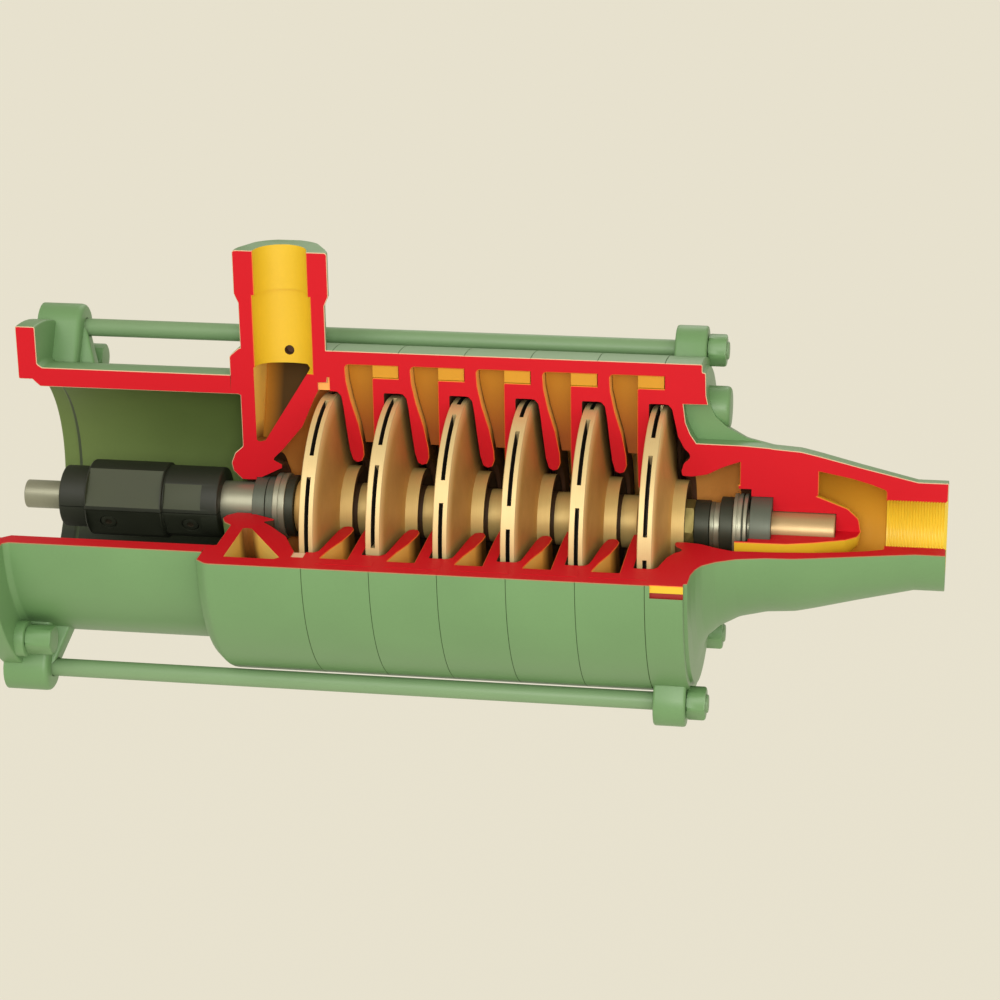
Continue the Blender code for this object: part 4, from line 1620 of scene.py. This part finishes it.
@dataclass
class Coupling(Assembly):
    """The split coupling that clamps the motor's shaft to the pump's."""

    neck: tuple[float, float, float] = (36.0, 60.0, 26.0)
    big: tuple[float, float, float] = (60.0, 127.0, 32.0)
    small: tuple[float, float, float] = (127.0, 175.0, 30.0)
    bore_step: float = 103.0
    stub: tuple[float, float, float] = (1.0, 102.0, 12.0)
    flats: dict[str, tuple[tuple[float, float, float, float], ...]] = field(default_factory=lambda: {
        "upper": ((60.0, 127.0, 27.3, 52.5), (127.0, 162.0, 28.0, 63.0)),
        "lower": ((60.0, 127.0, 28.9, 115.5), (127.0, 162.0, 28.0, 115.5)),
    })
    screws: tuple[float, ...] = (79.0, 150.0)
    screw: tuple[tuple[Finish, float, float, float, int], ...] = (
        (Finish.BLACK, 3.0, 10.0, 7.5, 32),
        (Finish.DARK, 3.5, 3.0, 6.5, 32),
        (Finish.SLOT, 2.0, 10.0, 3.2, 6),
    )

    def half(self, name: str) -> None:
        """Make one half of the coupling with its flats, and with its screws on the lower half.

        Args:
            name: upper or lower.
        """
        (start, shoulder, neck_r), (_, step, big_r), (_, end, small_r) = self.neck, self.big, self.small
        pump_bore, motor_bore = SEAL_SHAFT_R + GAP, self.stub[2] + GAP
        shape = self.shape().turn((
            Run(Finish.BLACK, ((start, motor_bore), (start, neck_r, 1.5), (shoulder, neck_r, 1.0),
                               (shoulder, big_r, 2.0), (step, big_r, 1.5), (step, small_r - 0.8, 0.8),
                               (step + 1.6, small_r, 0.8), (end, small_r, 2.0), (end, pump_bore))),
            Run(Finish.BLACK, ((end, pump_bore), (self.bore_step, pump_bore),
                               (self.bore_step, motor_bore), (start, motor_bore))),
        ))
        reach = 2 * big_r
        low, high = (-reach, GAP) if name == "upper" else (-GAP, reach)
        tools = [self.shape().box(Finish.BLACK, (start - 5.0, -reach, low), (end + 5.0, reach, high))]
        # The upper half's flats are painted lighter as painted light
        finish = Finish.FLAT if name == "upper" else Finish.BLACK
        for first, last, distance, angle in self.flats[name]:
            outline = [(first + 1.5, distance), (last - 1.5, distance), (last + 0.6, reach),
                       (first - 0.6, reach)]
            tools += [self.shape().prism(finish, Plane.ALONG, outline, -big_r, big_r, side * angle)
                      for side in (1, -1)]
        shape.combined(Operation.CUT, *tools)
        if name == "lower":
            self.add_screws(shape)
        shape.publish(f"coupling_{name}_half", Body.ROTOR, "black_cast", 25.0)

    def add_screws(self, shape: Shape) -> None:
        """Sink the clamp screws' heads into the lower half's flats.

        Args:
            shape: The lower half.
        """
        to_axis, back = Matrix.Translation(shape.axis()), Matrix.Translation(-shape.axis())
        for (_, _, distance, angle), x in zip(self.flats["lower"], self.screws):
            for side in (1, -1):
                sunk, head, socket = (
                    self.shape().bar(finish, (x, 0, distance - depth), length, radius, sides, True)
                    for finish, depth, length, radius, sides in self.screw)
                head.rounded(0.6, 2)
                head.combined(Operation.CUT, socket)
                turn = to_axis @ Matrix.Rotation(radians(side * angle), 4, "X") @ back
                for part in (sunk, head):
                    bmesh.ops.transform(part.mesh, verts=part.mesh.verts, matrix=turn)
                shape.combined(Operation.CUT, sunk)
                shape.combined(Operation.JOIN, head)

    def motor_shaft(self) -> None:
        """Make the end of the motor's shaft."""
        start, end, radius = self.stub
        shape = self.shape().turn((
            Run(Finish.STEEL, ((start, 0.0), (start, radius, 1.0), (end, radius, 0.6), (end, 0.0))),
        ), steps=48)
        shape.publish("motor_shaft_stub", Body.ROTOR, "steel")

    def build(self) -> None:
        """Make the coupling and the motor shaft's end."""
        self.motor_shaft()
        for name in self.flats:
            self.half(name)


@dataclass(frozen=True)
class Lamp:
    """A soft box: where it stands, how wide it is, its power in watts and its colour."""

    name: str
    place: tuple[float, float, float]
    size: float
    power: float
    colour: tuple[float, float, float] = (1.0, 0.98, 0.94)


@dataclass
class Studio:
    """The camera, the soft boxes, the pale floor and the air's own light."""

    target: tuple[float, float, float] = (0.410, 0.0, 0.14154)
    azimuth: float = 9.841
    elevation: float = 20.508
    roll: float = -0.86
    distance: float = 2.3685
    lens: float = 102.67
    floor_z: float = -0.6
    floor_size: float = 60.0
    floor_share: float = 0.02
    cream: tuple[int, int, int] = (230, 224, 205)
    ambient: float = 0.66
    lamps: tuple[Lamp, ...] = (
        Lamp("front", (0.76, -2.05, 0.91), 0.5, 16.0),
        Lamp("key", (-0.4, -2.0, 1.8), 1.8, 22.0),
        Lamp("fill", (1.9, -2.2, 0.9), 1.8, 12.0),
        Lamp("rear", (0.4, 1.8, 1.4), 1.6, 10.0),
    )

    def camera(self) -> None:
        """Set the camera where the photograph was taken from."""
        a, e = radians(self.azimuth), radians(self.elevation)
        back = Vector((sin(a) * cos(e), -cos(a) * cos(e), sin(e)))
        flat = Vector((cos(a), sin(a), 0.0))
        lift = back.cross(flat)
        roll = radians(self.roll)
        right = flat * cos(roll) + lift * sin(roll)
        up = lift * cos(roll) - flat * sin(roll)
        data = bpy.data.cameras.new("view")
        data.lens = self.lens
        data.sensor_width = 36.0
        data.clip_end = 200.0
        camera = linked("view", data)
        turn = Matrix((right, up, back)).transposed().to_4x4()
        place = Vector(self.target) + back * self.distance
        camera.matrix_world = Matrix.Translation(place) @ turn
        bpy.context.scene.camera = camera

    def lights(self) -> None:
        """Set up the soft boxes."""
        for lamp in self.lamps:
            data = bpy.data.lights.new(lamp.name, "AREA")
            data.shape = "DISK"
            data.size = lamp.size
            data.energy = lamp.power
            data.color = lamp.colour
            soft_box = linked(lamp.name, data)
            soft_box.location = lamp.place
            aim = Vector(self.target) - Vector(lamp.place)
            soft_box.rotation_euler = aim.to_track_quat("-Z", "Y").to_euler()

    def surroundings(self) -> None:
        """Lay the floor and light the air in the same pale cream."""
        cream = linear(self.cream)
        world = bpy.data.worlds.new("air")
        world.use_nodes = True
        background = world.node_tree.nodes["Background"]
        background.inputs["Color"].default_value = (*cream, 1.0)
        background.inputs["Strength"].default_value = self.ambient
        bpy.context.scene.world = world
        shape = bmesh.new()
        bmesh.ops.create_grid(shape, x_segments=1, y_segments=1, size=self.floor_size / 2)
        bmesh.ops.translate(shape, verts=shape.verts, vec=(0, 0, self.floor_z))
        mesh = bpy.data.meshes.new("floor")
        shape.to_mesh(mesh)
        shape.free()
        matt = bpy.data.materials.new("floor")
        matt.use_nodes = True
        shader = matt.node_tree.nodes["Principled BSDF"]
        values = {"Base Color": (*scaled(cream, self.floor_share), 1.0), "Roughness": 1.0,
                  "Specular IOR Level": 0.0, "Emission Color": (*cream, 1.0), "Emission Strength": 1.0}
        for name, value in values.items():
            shader.inputs[name].default_value = value
        mesh.materials.append(matt)
        floor = linked("floor", mesh)

    def build(self) -> None:
        """Set up the whole studio."""
        self.camera()
        self.lights()
        self.surroundings()
        bpy.context.scene.view_settings.view_transform = "Standard"


def main() -> None:
    """Build the studio and every sub-assembly, and log the stations read from the imported model."""
    logging.basicConfig(level=logging.INFO, format="%(name)s %(message)s")
    Studio().build()
    stations = Stations.read()
    log.info("stations %s", stations)
    for kind in (Lantern, DischargeCasing, RingCasings, SuctionCasing, Fasteners, Impellers,
                 ShaftTrain, Coupling):
        kind(stations).build()


if __name__ == "__main__":
    main()
